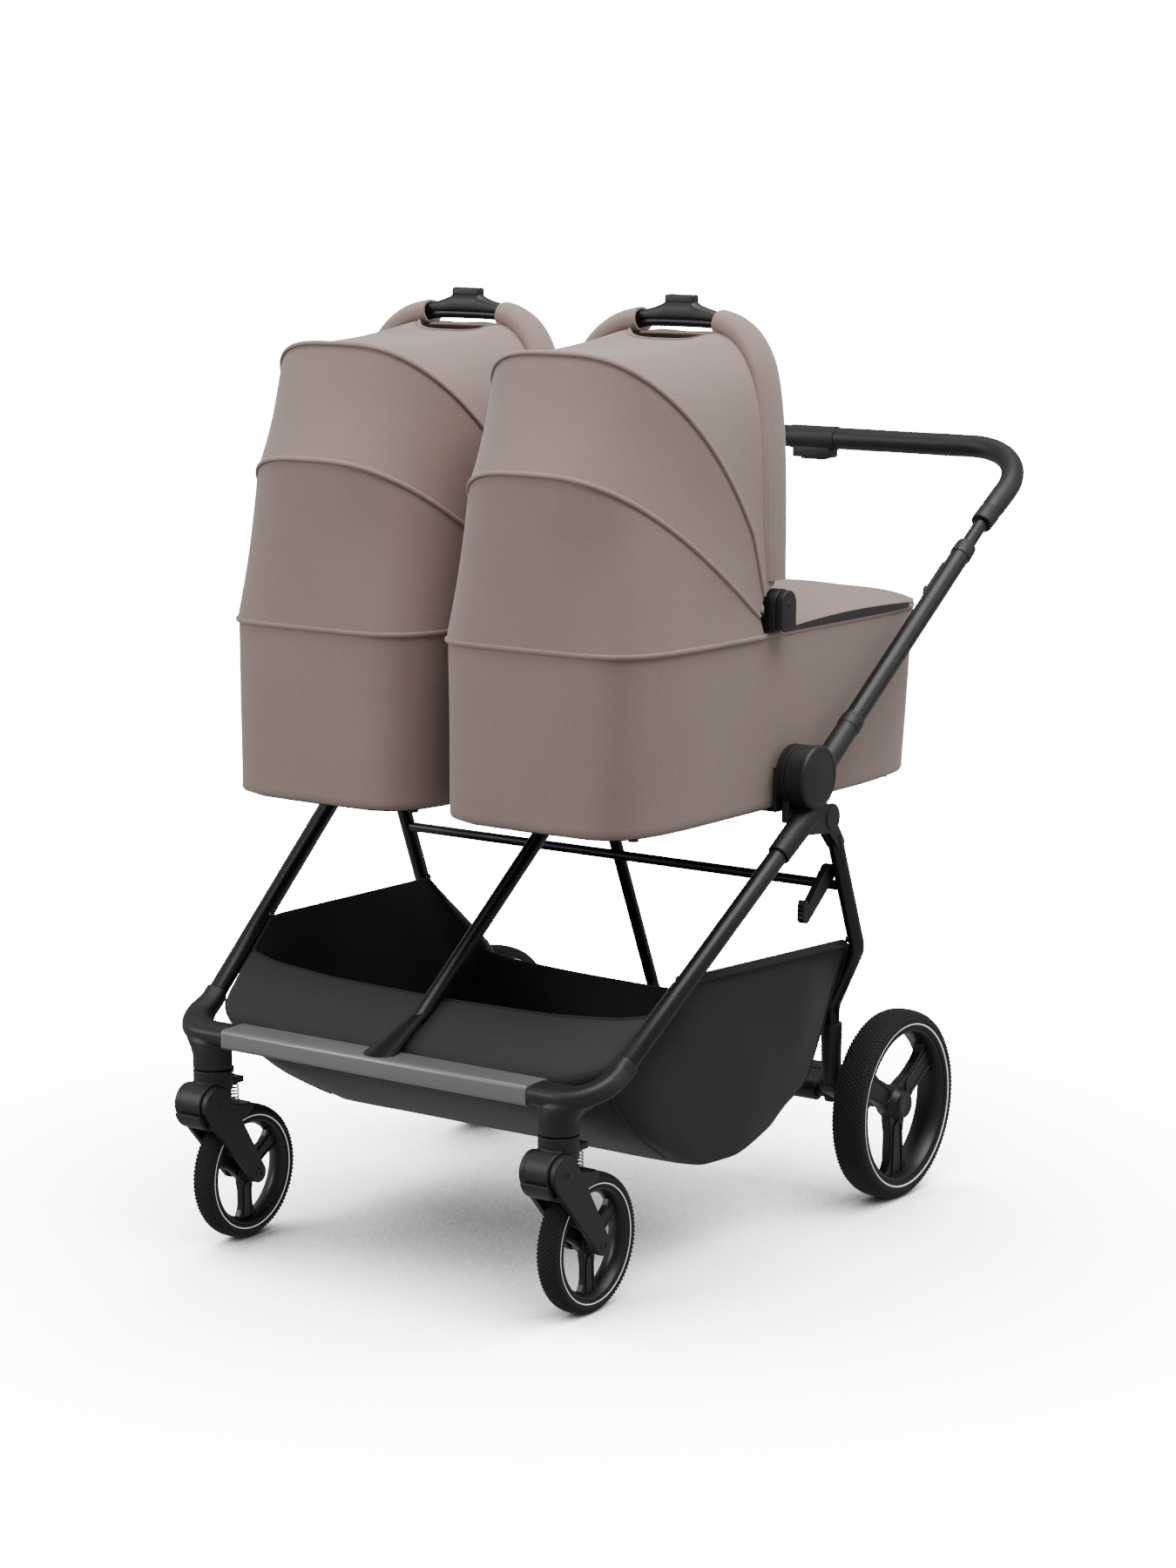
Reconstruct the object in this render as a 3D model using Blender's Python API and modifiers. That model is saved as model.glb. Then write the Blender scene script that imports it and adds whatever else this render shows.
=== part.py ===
"""Side-by-side twin pushchair with two carrycots: a black tube chassis with three
parallel side frames, sprung front castors, a telescoping handle that folds forward,
a fabric basket, and two lift-off cots, each with a three-panel hood and a carry hoop.

Metres, +Z up.  The front faces -Y, and X runs across the pushchair.
"""
import math

import bmesh
import bpy
from mathutils import Matrix, Vector

# Driving dimensions
OVERALL_WIDTH = 0.760
HALF_WIDTH = OVERALL_WIDTH / 2
AXLE_Y = 0.2033
CLEAR = 0.0003
RUNNING = 0.0003

# Wheels
REAR_WHEEL_R = 0.135
REAR_TYRE_W = 0.0515
REAR_BEAD_R = REAR_WHEEL_R - 0.0265
REAR_STUB_R = 0.006
FRONT_WHEEL_R = 0.093
FRONT_TYRE_W = 0.033
FRONT_BEAD_R = FRONT_WHEEL_R - 0.0195
FRONT_STUB_R = 0.004
WHEELBASE = 0.663
FRONT_TRACK_HALF = HALF_WIDTH - 0.093
CASTOR_TRAIL = 0.060
RIM_WALL = 0.0045
SPOKE_COUNT = 3

# Chassis stations
LEG_SEAM = Vector((HALF_WIDTH - 0.039, AXLE_Y - WHEELBASE + 0.015, 0.334))
LEG_TOP = Vector((HALF_WIDTH - 0.0048, AXLE_Y - 0.344, 0.555))
SIDE_LEG_R = 0.013
MIDDLE_LEG_R = 0.011
HUB_Y = AXLE_Y - 0.278
HUB_Z = 0.652
HUB_R = 0.0415
HUB_INNER_X = HALF_WIDTH - 0.0275
HUB_SPLIT_X = HALF_WIDTH - 0.0132
HUB_OUTER_X = HALF_WIDTH + 0.0200
PIVOT_Y = AXLE_Y - 0.230
PIVOT_Z = 0.588
PIVOT_R = 0.0205
MIDDLE_PIVOT_R = 0.0142
PIVOT_PIN_R = 0.005
EYE_R = 0.0125
MIDDLE_EYE_R = 0.0095
SIDE_EYE_HALF = 0.0095
MIDDLE_EYE_HALF = 0.0065
CHEEK_HALF = 0.0145
MIDDLE_CHEEK_HALF = 0.0105
BEARING_R = 0.010
BEARING_LENGTH = 0.016
SOCKET_WALL = 0.003
SOCKET_DEPTH = 0.030
REAR_LEG_X = HALF_WIDTH - 0.0054
REAR_LEG_R = 0.011
MIDDLE_REAR_LEG_R = 0.009
REAR_LEG_BEND_Z = 0.390
REAR_LEG_BEND_Y = AXLE_Y - 0.137
REAR_SOCKET = Vector((HALF_WIDTH - 0.080, AXLE_Y - 0.080, 0.262))
REAR_SOCKET_R = 0.0150
REAR_SOCKET_LOW = 0.172
AXLE_TUBE_R = 0.0085
CROSS_TUBE_R = 0.007
CROSS_TUBE_Z = 0.484
MIDDLE_SOCKET = Vector((0.0, AXLE_Y - 0.032, 0.170))
PEDAL_X = REAR_SOCKET.x - 0.095
PEDAL_HALF = 0.026
LATCH_Z = 0.503
LATCH_X = REAR_LEG_X - REAR_LEG_R - CLEAR
LATCH_T = 0.012

# Seats of the cots: a saddle on the middle hub and a slot in each side hub
SADDLE_HALF_X = 0.060
SADDLE_HALF_Y = 0.026
SADDLE_TOP = 0.6034
SADDLE_T = 0.008
TONGUE_HALF = 0.007
TONGUE_DEPTH = 0.007
TONGUE_ROOM = 0.0016

# Front bar, corners and castor bosses
BAR_HALF = HALF_WIDTH - 0.128
BAR_FRONT_Y = AXLE_Y - WHEELBASE - 0.083
BAR_DEPTH = 0.050
BAR_LOW_Z = 0.286
BAR_HEIGHT = 0.027
CORNER_R = 0.0150
BOSS_R = 0.0267
BOSS_LOW_Z = 0.252
BOSS_TOP_Z = 0.300
STEM_R = 0.008
STEM_LENGTH = 0.030

# Castors
FORK_PIVOT_AHEAD = 0.082
FORK_PIVOT_Z = 0.206
BARREL_R = 0.029
PLATE_OUTER = 0.0285
PLATE_INNER = 0.0192
PLATE_R_TOP = 0.026
PLATE_R_LOW = 0.0135
FORK_BOLT_R = 0.0043
SPRING_BACK = 0.0445
SPRING_R = 0.0052
SPRING_WIRE = 0.0010
SPRING_LOW = 0.1955
SPRING_HIGH = 0.2205
SPRING_TURNS = 5

# Handle
ARM_X = HALF_WIDTH - 0.005
ARM_ANGLE = math.radians(33.7)
ARM_DROP = 0.020
ARM_TUBE_R = 0.014
SHROUD_R = 0.0155
SHROUD_END = 0.140
OUTER_TUBE_END = 0.480
COLLAR_LENGTH = 0.024
INNER_TUBE_R = 0.010
INNER_TUBE_START = 0.335
GRIP_START = 0.583
GRIP_COLLAR = 0.030
GRIP_R = 0.0165
HANDLE_BAR_Y = AXLE_Y + 0.355
HANDLE_BAR_Z = 1.034
HANDLE_BEND = 0.105
LEVER_AT = 0.430
LEVER_LENGTH = 0.070
LEVER_HALF = 0.0035
LEVER_SINK = 0.0006
LEVER_PROUD = 0.0048
LEVER_KNOB_R = 0.0055
TRIGGER_HALF = 0.034
TRIGGER_DEPTH = 0.017
HOUSING_HALF = 0.013

# Carrycots
COT_GAP_HALF = 0.007
COT_TO_HUB = 0.0055
COT_X = (HUB_INNER_X - COT_TO_HUB + COT_GAP_HALF) / 2
COT_RIM_HALF = COT_X - COT_GAP_HALF
COT_LOW_HALF = COT_RIM_HALF - 0.005
COT_FRONT_Y = AXLE_Y - 0.642
COT_REAR_Y = AXLE_Y + 0.124
COT_REAR_LOW_Y = AXLE_Y + 0.106
COT_LOW_Z = 0.607
COT_RIM_Z = 0.843
COT_WALL = 0.007
COT_SQUARENESS = 6.0
COT_POINTS = 28
BASE_T = 0.0024
STRAP_HALF = 0.034
COT_TILT = math.radians(1.1)
HOOD_HINGE_Y = AXLE_Y - 0.3153
HOOD_HINGE_Z = 0.8845
HOOD_HALF = COT_RIM_HALF
HINGE_BLOCK_R = 0.024
HINGE_BLOCK_HALF = 0.0055
HINGE_PIN_R = 0.003
HINGE_PIN_REACH = 0.0192
ARCH_START = 0.038
EYE_NECK = 0.024
BESIDE_RIB = 0.0009
RIB_R = 0.0022
PANEL_T = 0.0024
FRONT_RIB_ANGLE = math.radians(29.0)
FRONT_RIB_REACH = 0.375
MIDDLE_RIB_ANGLE = math.radians(51.0)
MIDDLE_RIB_REACH = 0.428
HOOP_ANGLE = math.radians(94.0)
GRIP_REACH = 0.377
HOOP_REACH = GRIP_REACH - 0.015
HOOP_HALF = HOOD_HALF - 0.0243
HOOP_R = 0.009
FRONT_EYE_DEPTH = 0.0080
MIDDLE_EYE_DEPTH = 0.0127
HOOP_EYE_DEPTH = 0.0169
REAR_EDGE_BEHIND = 0.004
GRIP_HALF = 0.058
APRON_T = 0.006

# Basket
BASKET_T = 0.002
BASKET_HALF = HALF_WIDTH - 0.064
BASKET_FRONT_Y = BAR_FRONT_Y + 0.056
HEM_FRONT_Z = 0.420
HEM_REAR_Z = 0.402

BLACK = (0.022, 0.022, 0.024)
SATIN = (0.10, 0.10, 0.105)
RUBBER = (0.018, 0.018, 0.019)
TAUPE = (0.165, 0.120, 0.105)
CHARCOAL = (0.026, 0.026, 0.028)
LEATHERETTE = (0.020, 0.018, 0.018)
STEEL = (0.45, 0.45, 0.46)

for old in list(bpy.data.objects):
    bpy.data.objects.remove(old)

PARTS = bpy.data.collections.new("twin_pushchair")
bpy.context.scene.collection.children.link(PARTS)
WORK = bpy.data.collections.new("work")
bpy.context.scene.collection.children.link(WORK)


def make_material(name, colour, roughness, metallic=0.0):
    material = bpy.data.materials.new(name)
    material.use_nodes = True
    shader = material.node_tree.nodes["Principled BSDF"]
    shader.inputs["Base Color"].default_value = (*colour, 1.0)
    shader.inputs["Roughness"].default_value = roughness
    shader.inputs["Metallic"].default_value = metallic
    return material


MATERIALS = {
    "frame_tube": make_material("frame_tube", BLACK, 0.42, 0.6),
    "front_trim": make_material("front_trim", SATIN, 0.38, 0.5),
    "plastic": make_material("plastic", BLACK, 0.5),
    "tyre": make_material("tyre", RUBBER, 0.8),
    "cot_fabric": make_material("cot_fabric", TAUPE, 0.9),
    "basket_fabric": make_material("basket_fabric", CHARCOAL, 0.9),
    "grip": make_material("grip", LEATHERETTE, 0.6),
    "spring_steel": make_material("spring_steel", STEEL, 0.3, 1.0),
}


# Helpers that turn a construction into one clean mesh
def work_object(name, data):
    obj = bpy.data.objects.new(name, data)
    WORK.objects.link(obj)
    return obj


def from_bmesh(name, bm, turn_out=True):
    if turn_out:
        bmesh.ops.recalc_face_normals(bm, faces=bm.faces)
    mesh = bpy.data.meshes.new(name)
    bm.to_mesh(mesh)
    bm.free()
    return work_object(name, mesh)


def as_mesh(obj, turn_out=True):
    """The evaluated shape of an object as a welded mesh in world space."""
    depsgraph = bpy.context.evaluated_depsgraph_get()
    mesh = bpy.data.meshes.new_from_object(obj.evaluated_get(depsgraph))
    mesh.transform(obj.matrix_world)
    name = obj.name
    bpy.data.objects.remove(obj)
    bm = bmesh.new()
    bm.from_mesh(mesh)
    bpy.data.meshes.remove(mesh)
    bmesh.ops.remove_doubles(bm, verts=bm.verts, dist=0.00002)
    return from_bmesh(name, bm, turn_out)


def boolean(target, tool, operation):
    modifier = target.modifiers.new(operation, "BOOLEAN")
    modifier.operation = operation
    modifier.object = tool
    modifier.solver = "EXACT"
    result = as_mesh(target, False)
    bpy.data.objects.remove(tool)
    return result


def join(target, *tools):
    for tool in tools:
        target = boolean(target, tool, "UNION")
    return target


def cut(target, *tools):
    for tool in tools:
        target = boolean(target, tool, "DIFFERENCE")
    return target


def mirrored(obj):
    """A copy on the other side of the middle plane."""
    bm = bmesh.new()
    bm.from_mesh(obj.data)
    bmesh.ops.scale(bm, verts=bm.verts, vec=(-1.0, 1.0, 1.0))
    return from_bmesh(obj.name, bm)


def finish(obj, name, material, origin=(0.0, 0.0, 0.0), sharp=35.0):
    """Name a shape, give it its material, and put its origin on its joint."""
    obj.name = name
    obj.data.name = name
    obj.data.materials.clear()
    obj.data.materials.append(MATERIALS[material])
    bm = bmesh.new()
    bm.from_mesh(obj.data)
    bmesh.ops.dissolve_limit(bm, angle_limit=math.radians(0.2), verts=bm.verts, edges=bm.edges)
    bm.to_mesh(obj.data)
    bm.free()
    obj.data.shade_smooth()
    obj.data.set_sharp_from_angle(angle=math.radians(sharp))
    origin = Vector(origin)
    obj.data.transform(Matrix.Translation(-origin))
    obj.location = origin
    WORK.objects.unlink(obj)
    PARTS.objects.link(obj)
    return obj


# Basic shapes
def rod(start, end, radius, sides=16, end_radius=None):
    start = Vector(start)
    end = Vector(end)
    along = end - start
    bm = bmesh.new()
    bmesh.ops.create_cone(
        bm, cap_ends=True, segments=sides, radius1=radius,
        radius2=radius if end_radius is None else end_radius, depth=along.length)
    turn = along.to_track_quat("Z", "Y").to_matrix().to_4x4()
    bmesh.ops.transform(bm, matrix=Matrix.Translation((start + end) / 2) @ turn, verts=bm.verts)
    return from_bmesh("rod", bm)


def disc(x_low, x_high, y, z, radius, sides=20):
    """A cylinder whose axis runs across the pushchair."""
    return rod((x_low, y, z), (x_high, y, z), radius, sides)


def box(low, high, bevel=0.0, segments=1):
    low = Vector(low)
    high = Vector(high)
    bm = bmesh.new()
    bmesh.ops.create_cube(bm, size=1.0)
    scale = Matrix.Diagonal((high - low).to_4d())
    scale[3][3] = 1.0
    bmesh.ops.transform(bm, matrix=Matrix.Translation((low + high) / 2) @ scale, verts=bm.verts)
    if bevel:
        bmesh.ops.bevel(bm, geom=bm.edges[:], offset=bevel, segments=segments, profile=0.5, affect="EDGES")
    return from_bmesh("box", bm)


def bent_path(corners, bend, steps=4):
    """The corners of a route with each inner corner rounded to the bend radius."""
    corners = [Vector(corner) for corner in corners]
    points = [corners[0]]
    for before, corner, after in zip(corners, corners[1:], corners[2:]):
        into = (corner - before).normalized()
        out = (after - corner).normalized()
        turn = into.angle(out)
        reach = bend * math.tan(turn / 2)
        centre = corner + (out - into).normalized() * bend / math.cos(turn / 2)
        first = corner - into * reach - centre
        count = max(1, round(steps * turn / math.radians(60)))
        axis = into.cross(out).normalized()
        for step in range(count + 1):
            points.append(centre + Matrix.Rotation(turn * step / count, 3, axis) @ first)
    points.append(corners[-1])
    return points


def wire(points, radius, resolution=3):
    """A round tube along points, closed at its ends by flat caps."""
    curve = bpy.data.curves.new("wire", "CURVE")
    curve.dimensions = "3D"
    curve.bevel_depth = radius
    curve.bevel_resolution = resolution
    curve.use_fill_caps = True
    spline = curve.splines.new("POLY")
    spline.points.add(len(points) - 1)
    for spline_point, point in zip(spline.points, points):
        spline_point.co = (*point, 1.0)
    return as_mesh(work_object("wire", curve))


def pipe(points, radius, bore, resolution=4, bore_resolution=3):
    """A tube with an open bore from end to end."""
    points = [Vector(point) for point in points]
    first = points[0] + (points[0] - points[1]).normalized() * 0.002
    last = points[-1] + (points[-1] - points[-2]).normalized() * 0.002
    inner = wire([first, *points, last], bore, bore_resolution)
    return cut(wire(points, radius, resolution), inner)


def side_plate(outline, x_low, x_high):
    """A flat outline in the side view, given as (y, z), made as thick as its span in x."""
    curve = bpy.data.curves.new("plate", "CURVE")
    curve.dimensions = "2D"
    curve.fill_mode = "BOTH"
    curve.extrude = (x_high - x_low) / 2
    spline = curve.splines.new("POLY")
    spline.points.add(len(outline) - 1)
    for spline_point, (y, z) in zip(spline.points, outline):
        spline_point.co = (y, z, 0.0, 1.0)
    spline.use_cyclic_u = True
    plate = work_object("plate", curve)
    axes = Matrix(((0.0, 0.0, 1.0), (1.0, 0.0, 0.0), (0.0, 1.0, 0.0))).to_4x4()
    plate.matrix_world = Matrix.Translation(((x_low + x_high) / 2, 0.0, 0.0)) @ axes
    bpy.context.view_layer.update()
    return as_mesh(plate)


def capsule_outline(first, first_r, second, second_r, steps=5):
    """Two circles and their common tangents, as (y, z) points."""
    first = Vector(first)
    second = Vector(second)
    along = second - first
    heading = math.atan2(along.y, along.x)
    lean = math.acos((first_r - second_r) / along.length)
    points = []
    for step in range(steps + 1):
        angle = heading + lean + (2 * math.pi - 2 * lean) * step / steps
        points.append((first.x + first_r * math.cos(angle), first.y + first_r * math.sin(angle)))
    for step in range(steps + 1):
        angle = heading - lean + 2 * lean * step / steps
        points.append((second.x + second_r * math.cos(angle), second.y + second_r * math.sin(angle)))
    return points


def turned(profile, centre, steps=24):
    """A profile of (radius, x) points turned about an axis across the pushchair.

    The flats between the steps lie at the stated radii, and one flat faces the floor.
    """
    half_step = math.pi / steps
    bm = bmesh.new()
    verts = [bm.verts.new((radius, radius * math.tan(half_step), along)) for radius, along in profile]
    for first, second in zip(verts, verts[1:] + verts[:1]):
        bm.edges.new((first, second))
    mesh = bpy.data.meshes.new("turned")
    bm.to_mesh(mesh)
    bm.free()
    shape = work_object("turned", mesh)
    screw = shape.modifiers.new("turn", "SCREW")
    screw.steps = steps
    screw.render_steps = steps
    screw.use_merge_vertices = True
    screw.merge_threshold = 0.00005
    axes = Matrix(((0.0, 0.0, 1.0), (1.0, 0.0, 0.0), (0.0, 1.0, 0.0))).to_4x4()
    shape.matrix_world = Matrix.Translation(centre) @ axes
    bpy.context.view_layer.update()
    return as_mesh(shape)


def superellipse(angle, power):
    """A point on the unit superellipse, which is squarer for a higher power."""
    cosine = math.cos(angle)
    sine = math.sin(angle)
    return (math.copysign(abs(cosine) ** (2 / power), cosine),
            math.copysign(abs(sine) ** (2 / power), sine))


def loft(rings, closed_rings=True, thickness=0.0, cap_ends=False):
    """A skin through rings of points, thickened inward, or capped to a solid."""
    bm = bmesh.new()
    rows = [[bm.verts.new(point) for point in ring] for ring in rings]
    count = len(rows[0])
    for low, high in zip(rows, rows[1:]):
        for index in range(count if closed_rings else count - 1):
            after = (index + 1) % count
            bm.faces.new((low[index], low[after], high[after], high[index]))
    if cap_ends:
        bm.faces.new(rows[0])
        bm.faces.new(rows[-1])
    shape = from_bmesh("loft", bm)
    if thickness:
        solidify = shape.modifiers.new("skin", "SOLIDIFY")
        solidify.thickness = thickness
        solidify.offset = -1.0
        shape = as_mesh(shape)
    return shape


# The chassis: legs, hubs and front bar
def leg_point(x_share, z):
    """A point on a front leg's line at height z; x_share 0 is the middle leg."""
    along = (z - LEG_SEAM.z) / (LEG_TOP.z - LEG_SEAM.z)
    point = LEG_SEAM.lerp(LEG_TOP, along)
    return Vector((point.x * x_share, point.y, point.z))


def build_front_bar():
    bar = box((-BAR_HALF, BAR_FRONT_Y, BAR_LOW_Z),
              (BAR_HALF, BAR_FRONT_Y + BAR_DEPTH, BAR_LOW_Z + BAR_HEIGHT), 0.004, 2)
    finish(bar, "front_bar", "front_trim")


def build_corners():
    middle_z = BAR_LOW_Z + BAR_HEIGHT / 2
    path_y = BAR_FRONT_Y + CORNER_R
    bar_end = Vector((BAR_HALF + 0.012, path_y, middle_z))
    seam = leg_point(1.0, LEG_SEAM.z)
    leg_way = (LEG_TOP - LEG_SEAM).normalized()
    turn = seam - leg_way * (seam.y - path_y) / leg_way.y
    turn.z = middle_z - 0.008
    tube = wire(bent_path((bar_end, turn, seam - leg_way * 0.014, seam), 0.040), CORNER_R)
    end_block = box((BAR_HALF + CLEAR, BAR_FRONT_Y, BAR_LOW_Z),
                    (BAR_HALF + 0.030, BAR_FRONT_Y + BAR_DEPTH, BAR_LOW_Z + BAR_HEIGHT), 0.004)
    boss_y = AXLE_Y - WHEELBASE - CASTOR_TRAIL
    boss = rod((FRONT_TRACK_HALF, boss_y, BOSS_LOW_Z), (FRONT_TRACK_HALF, boss_y, BOSS_TOP_Z), BOSS_R, 20)
    stem_bore = rod((FRONT_TRACK_HALF, boss_y, BOSS_LOW_Z - 0.002),
                    (FRONT_TRACK_HALF, boss_y, BOSS_LOW_Z + STEM_LENGTH + 0.001), STEM_R + RUNNING * 2, 12)
    corner = cut(join(tube, end_block, boss), stem_bore)
    finish(mirrored(corner), "corner_left", "plastic")
    finish(corner, "corner_right", "plastic")


def build_front_legs():
    for side, name in ((1.0, "front_leg_right"), (-1.0, "front_leg_left")):
        way = (LEG_TOP - LEG_SEAM).normalized()
        low = LEG_SEAM + way * CLEAR
        high = LEG_TOP + way * (SOCKET_DEPTH - CLEAR)
        ends = [Vector((point.x * side, point.y, point.z)) for point in (low, high)]
        finish(rod(*ends, SIDE_LEG_R), name, "frame_tube")
    bar_top = BAR_LOW_Z + BAR_HEIGHT
    foot_top = leg_point(0.0, 0.352)
    high = leg_point(0.0, LEG_TOP.z + 0.016)
    foot_low = Vector((0.0, BAR_FRONT_Y + 0.024, bar_top - 0.006))
    leg = rod(leg_point(0.0, 0.338), high, MIDDLE_LEG_R)
    foot = rod(foot_low, foot_top, 0.024, 20, 0.0125)
    under = box((-0.05, BAR_FRONT_Y - 0.05, bar_top - 0.05),
                (0.05, BAR_FRONT_Y + 0.09, bar_top + CLEAR))
    leg = cut(join(leg, foot), under)
    finish(leg, "front_leg_middle", "frame_tube")


def hub_bracket(x_middle, leg_share, half_width, pivot_r):
    """A casting that holds a front leg's top and forks round a rear leg's eye."""
    way = leg_point(leg_share, LEG_TOP.z + 0.1) - leg_point(leg_share, LEG_TOP.z)
    way.normalize()
    leg_r = SIDE_LEG_R if leg_share else MIDDLE_LEG_R
    low = leg_point(leg_share, LEG_TOP.z)
    high = low + way * (SOCKET_DEPTH + 0.045)
    socket = rod(low, high, leg_r + SOCKET_WALL)
    web = side_plate(
        capsule_outline((high.y - 0.004, high.z - 0.008), leg_r + SOCKET_WALL, (PIVOT_Y, PIVOT_Z), pivot_r),
        x_middle - half_width, x_middle + half_width)
    bore = rod(low - way * 0.002, low + way * SOCKET_DEPTH, leg_r + CLEAR * 2)
    return socket, web, bore


def pivot_slot(x_middle, eye_half, eye_r):
    """The gap between the cheeks, open downward and to the rear for the leg's swing."""
    slot = disc(x_middle - eye_half - RUNNING, x_middle + eye_half + RUNNING,
                PIVOT_Y, PIVOT_Z, eye_r + 0.0012, 16)
    way_out = side_plate(
        [(PIVOT_Y - 0.030, PIVOT_Z - 0.050), (PIVOT_Y + 0.030, PIVOT_Z - 0.050),
         (PIVOT_Y + 0.030, PIVOT_Z + 0.008), (PIVOT_Y, PIVOT_Z + 0.008),
         (PIVOT_Y - 0.010, PIVOT_Z - 0.004), (PIVOT_Y - 0.030, PIVOT_Z - 0.004)],
        x_middle - eye_half - RUNNING, x_middle + eye_half + RUNNING)
    return slot, way_out


def build_side_hubs():
    x_middle = LEG_TOP.x
    socket, web, bore = hub_bracket(x_middle, 1.0, CHEEK_HALF, PIVOT_R)
    inner_drum = disc(HUB_INNER_X, HUB_SPLIT_X - CLEAR, HUB_Y, HUB_Z, HUB_R, 24)
    bridge = box((HUB_INNER_X + 0.002, HUB_Y - 0.026, HUB_Z - HUB_R - 0.022),
                 (HUB_SPLIT_X - CLEAR, HUB_Y + 0.030, HUB_Z - 0.020))
    drum_room = disc(HUB_SPLIT_X - CLEAR / 2, HUB_OUTER_X + 0.01, HUB_Y, HUB_Z, HUB_R + 0.0008, 24)
    tongue_slot = box((HUB_INNER_X - 0.002, HUB_Y - TONGUE_HALF - TONGUE_ROOM, HUB_Z - 0.022),
                      (HUB_INNER_X + TONGUE_DEPTH + 0.0006, HUB_Y + TONGUE_HALF + TONGUE_ROOM, HUB_Z + 0.06))
    bearing = disc(HUB_SPLIT_X - 0.006, HUB_SPLIT_X + BEARING_LENGTH, HUB_Y, HUB_Z, BEARING_R, 16)
    slot, way_out = pivot_slot(x_middle, SIDE_EYE_HALF, EYE_R)
    pin = disc(x_middle - SIDE_EYE_HALF - 0.003, x_middle + SIDE_EYE_HALF + 0.003,
               PIVOT_Y, PIVOT_Z, PIVOT_PIN_R, 12)
    hub = join(web, socket, inner_drum, bridge)
    hub = cut(hub, drum_room, tongue_slot, bore, slot, way_out)
    hub = join(hub, pin, bearing)
    finish(mirrored(hub), "hub_left", "plastic")
    finish(hub, "hub_right", "plastic")


def build_middle_hub():
    socket, web, bore = hub_bracket(0.0, 0.0, MIDDLE_CHEEK_HALF, MIDDLE_PIVOT_R)
    saddle_y = HUB_Y + 0.002
    saddle = box((-SADDLE_HALF_X, saddle_y - SADDLE_HALF_Y, SADDLE_TOP - SADDLE_T),
                 (SADDLE_HALF_X, saddle_y + SADDLE_HALF_Y, SADDLE_TOP), 0.002)
    above = box((-0.1, HUB_Y - 0.15, SADDLE_TOP), (0.1, HUB_Y + 0.15, SADDLE_TOP + 0.1))
    slot, way_out = pivot_slot(0.0, MIDDLE_EYE_HALF, MIDDLE_EYE_R)
    pin = disc(-MIDDLE_EYE_HALF - 0.002, MIDDLE_EYE_HALF + 0.002, PIVOT_Y, PIVOT_Z, PIVOT_PIN_R, 12)
    hub = join(web, socket, saddle)
    hub = cut(hub, above, bore, slot, way_out)
    finish(join(hub, pin), "hub_middle", "plastic")


# The rear frame: legs, cross tube, axle, pedal and latch
def rear_leg_line(z):
    slope = (REAR_LEG_BEND_Y - (AXLE_Y - 0.196)) / (REAR_LEG_BEND_Z - 0.545)
    return REAR_LEG_BEND_Y + slope * (z - REAR_LEG_BEND_Z)


def rear_leg_eye(x_middle, half, radius):
    eye = disc(x_middle - half, x_middle + half, PIVOT_Y, PIVOT_Z, radius, 16)
    bore = disc(x_middle - half - 0.002, x_middle + half + 0.002, PIVOT_Y, PIVOT_Z,
                PIVOT_PIN_R + RUNNING, 12)
    return eye, bore


def build_rear_legs():
    neck_z = PIVOT_Z - PIVOT_R - 0.012
    route = [
        (REAR_LEG_X, rear_leg_line(neck_z), neck_z),
        (REAR_LEG_X, REAR_LEG_BEND_Y, REAR_LEG_BEND_Z),
        (REAR_SOCKET.x, REAR_SOCKET.y, REAR_SOCKET.z + 0.024),
        (REAR_SOCKET.x, REAR_SOCKET.y, REAR_SOCKET.z - 0.020),
    ]
    path = bent_path(route, 0.035)
    neck = side_plate(
        capsule_outline((PIVOT_Y, PIVOT_Z), EYE_R, (rear_leg_line(neck_z - 0.012), neck_z - 0.012), 0.0085),
        REAR_LEG_X - 0.0085, REAR_LEG_X + 0.0085)
    eye, bore = rear_leg_eye(LEG_TOP.x, SIDE_EYE_HALF, EYE_R)
    leg = wire(path, REAR_LEG_R, 4)
    leg = cut(join(leg, neck, eye), bore)
    finish(mirrored(leg), "rear_leg_left", "frame_tube", (-LEG_TOP.x, PIVOT_Y, PIVOT_Z))
    finish(leg, "rear_leg_right", "frame_tube", (LEG_TOP.x, PIVOT_Y, PIVOT_Z))

    top_z = PIVOT_Z - MIDDLE_PIVOT_R - 0.010
    top = Vector((0.0, rear_leg_line(top_z), top_z))
    low = Vector((0.0, MIDDLE_SOCKET.y, MIDDLE_SOCKET.z - 0.016))
    middle = rod(low, top, MIDDLE_REAR_LEG_R)
    neck = side_plate(
        capsule_outline((PIVOT_Y, PIVOT_Z), MIDDLE_EYE_R, (top.y + 0.004, top_z - 0.012), 0.0065),
        -MIDDLE_EYE_HALF, MIDDLE_EYE_HALF)
    eye, bore = rear_leg_eye(0.0, MIDDLE_EYE_HALF, MIDDLE_EYE_R)
    middle = cut(join(middle, neck, eye), bore, cross_tube(CLEAR))
    finish(middle, "rear_leg_middle", "frame_tube", (0.0, PIVOT_Y, PIVOT_Z))


def cross_tube(extra=0.0):
    y = rear_leg_line(CROSS_TUBE_Z) - 0.004
    return disc(-REAR_LEG_X, REAR_LEG_X, y, CROSS_TUBE_Z, CROSS_TUBE_R + extra, 16)


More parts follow.
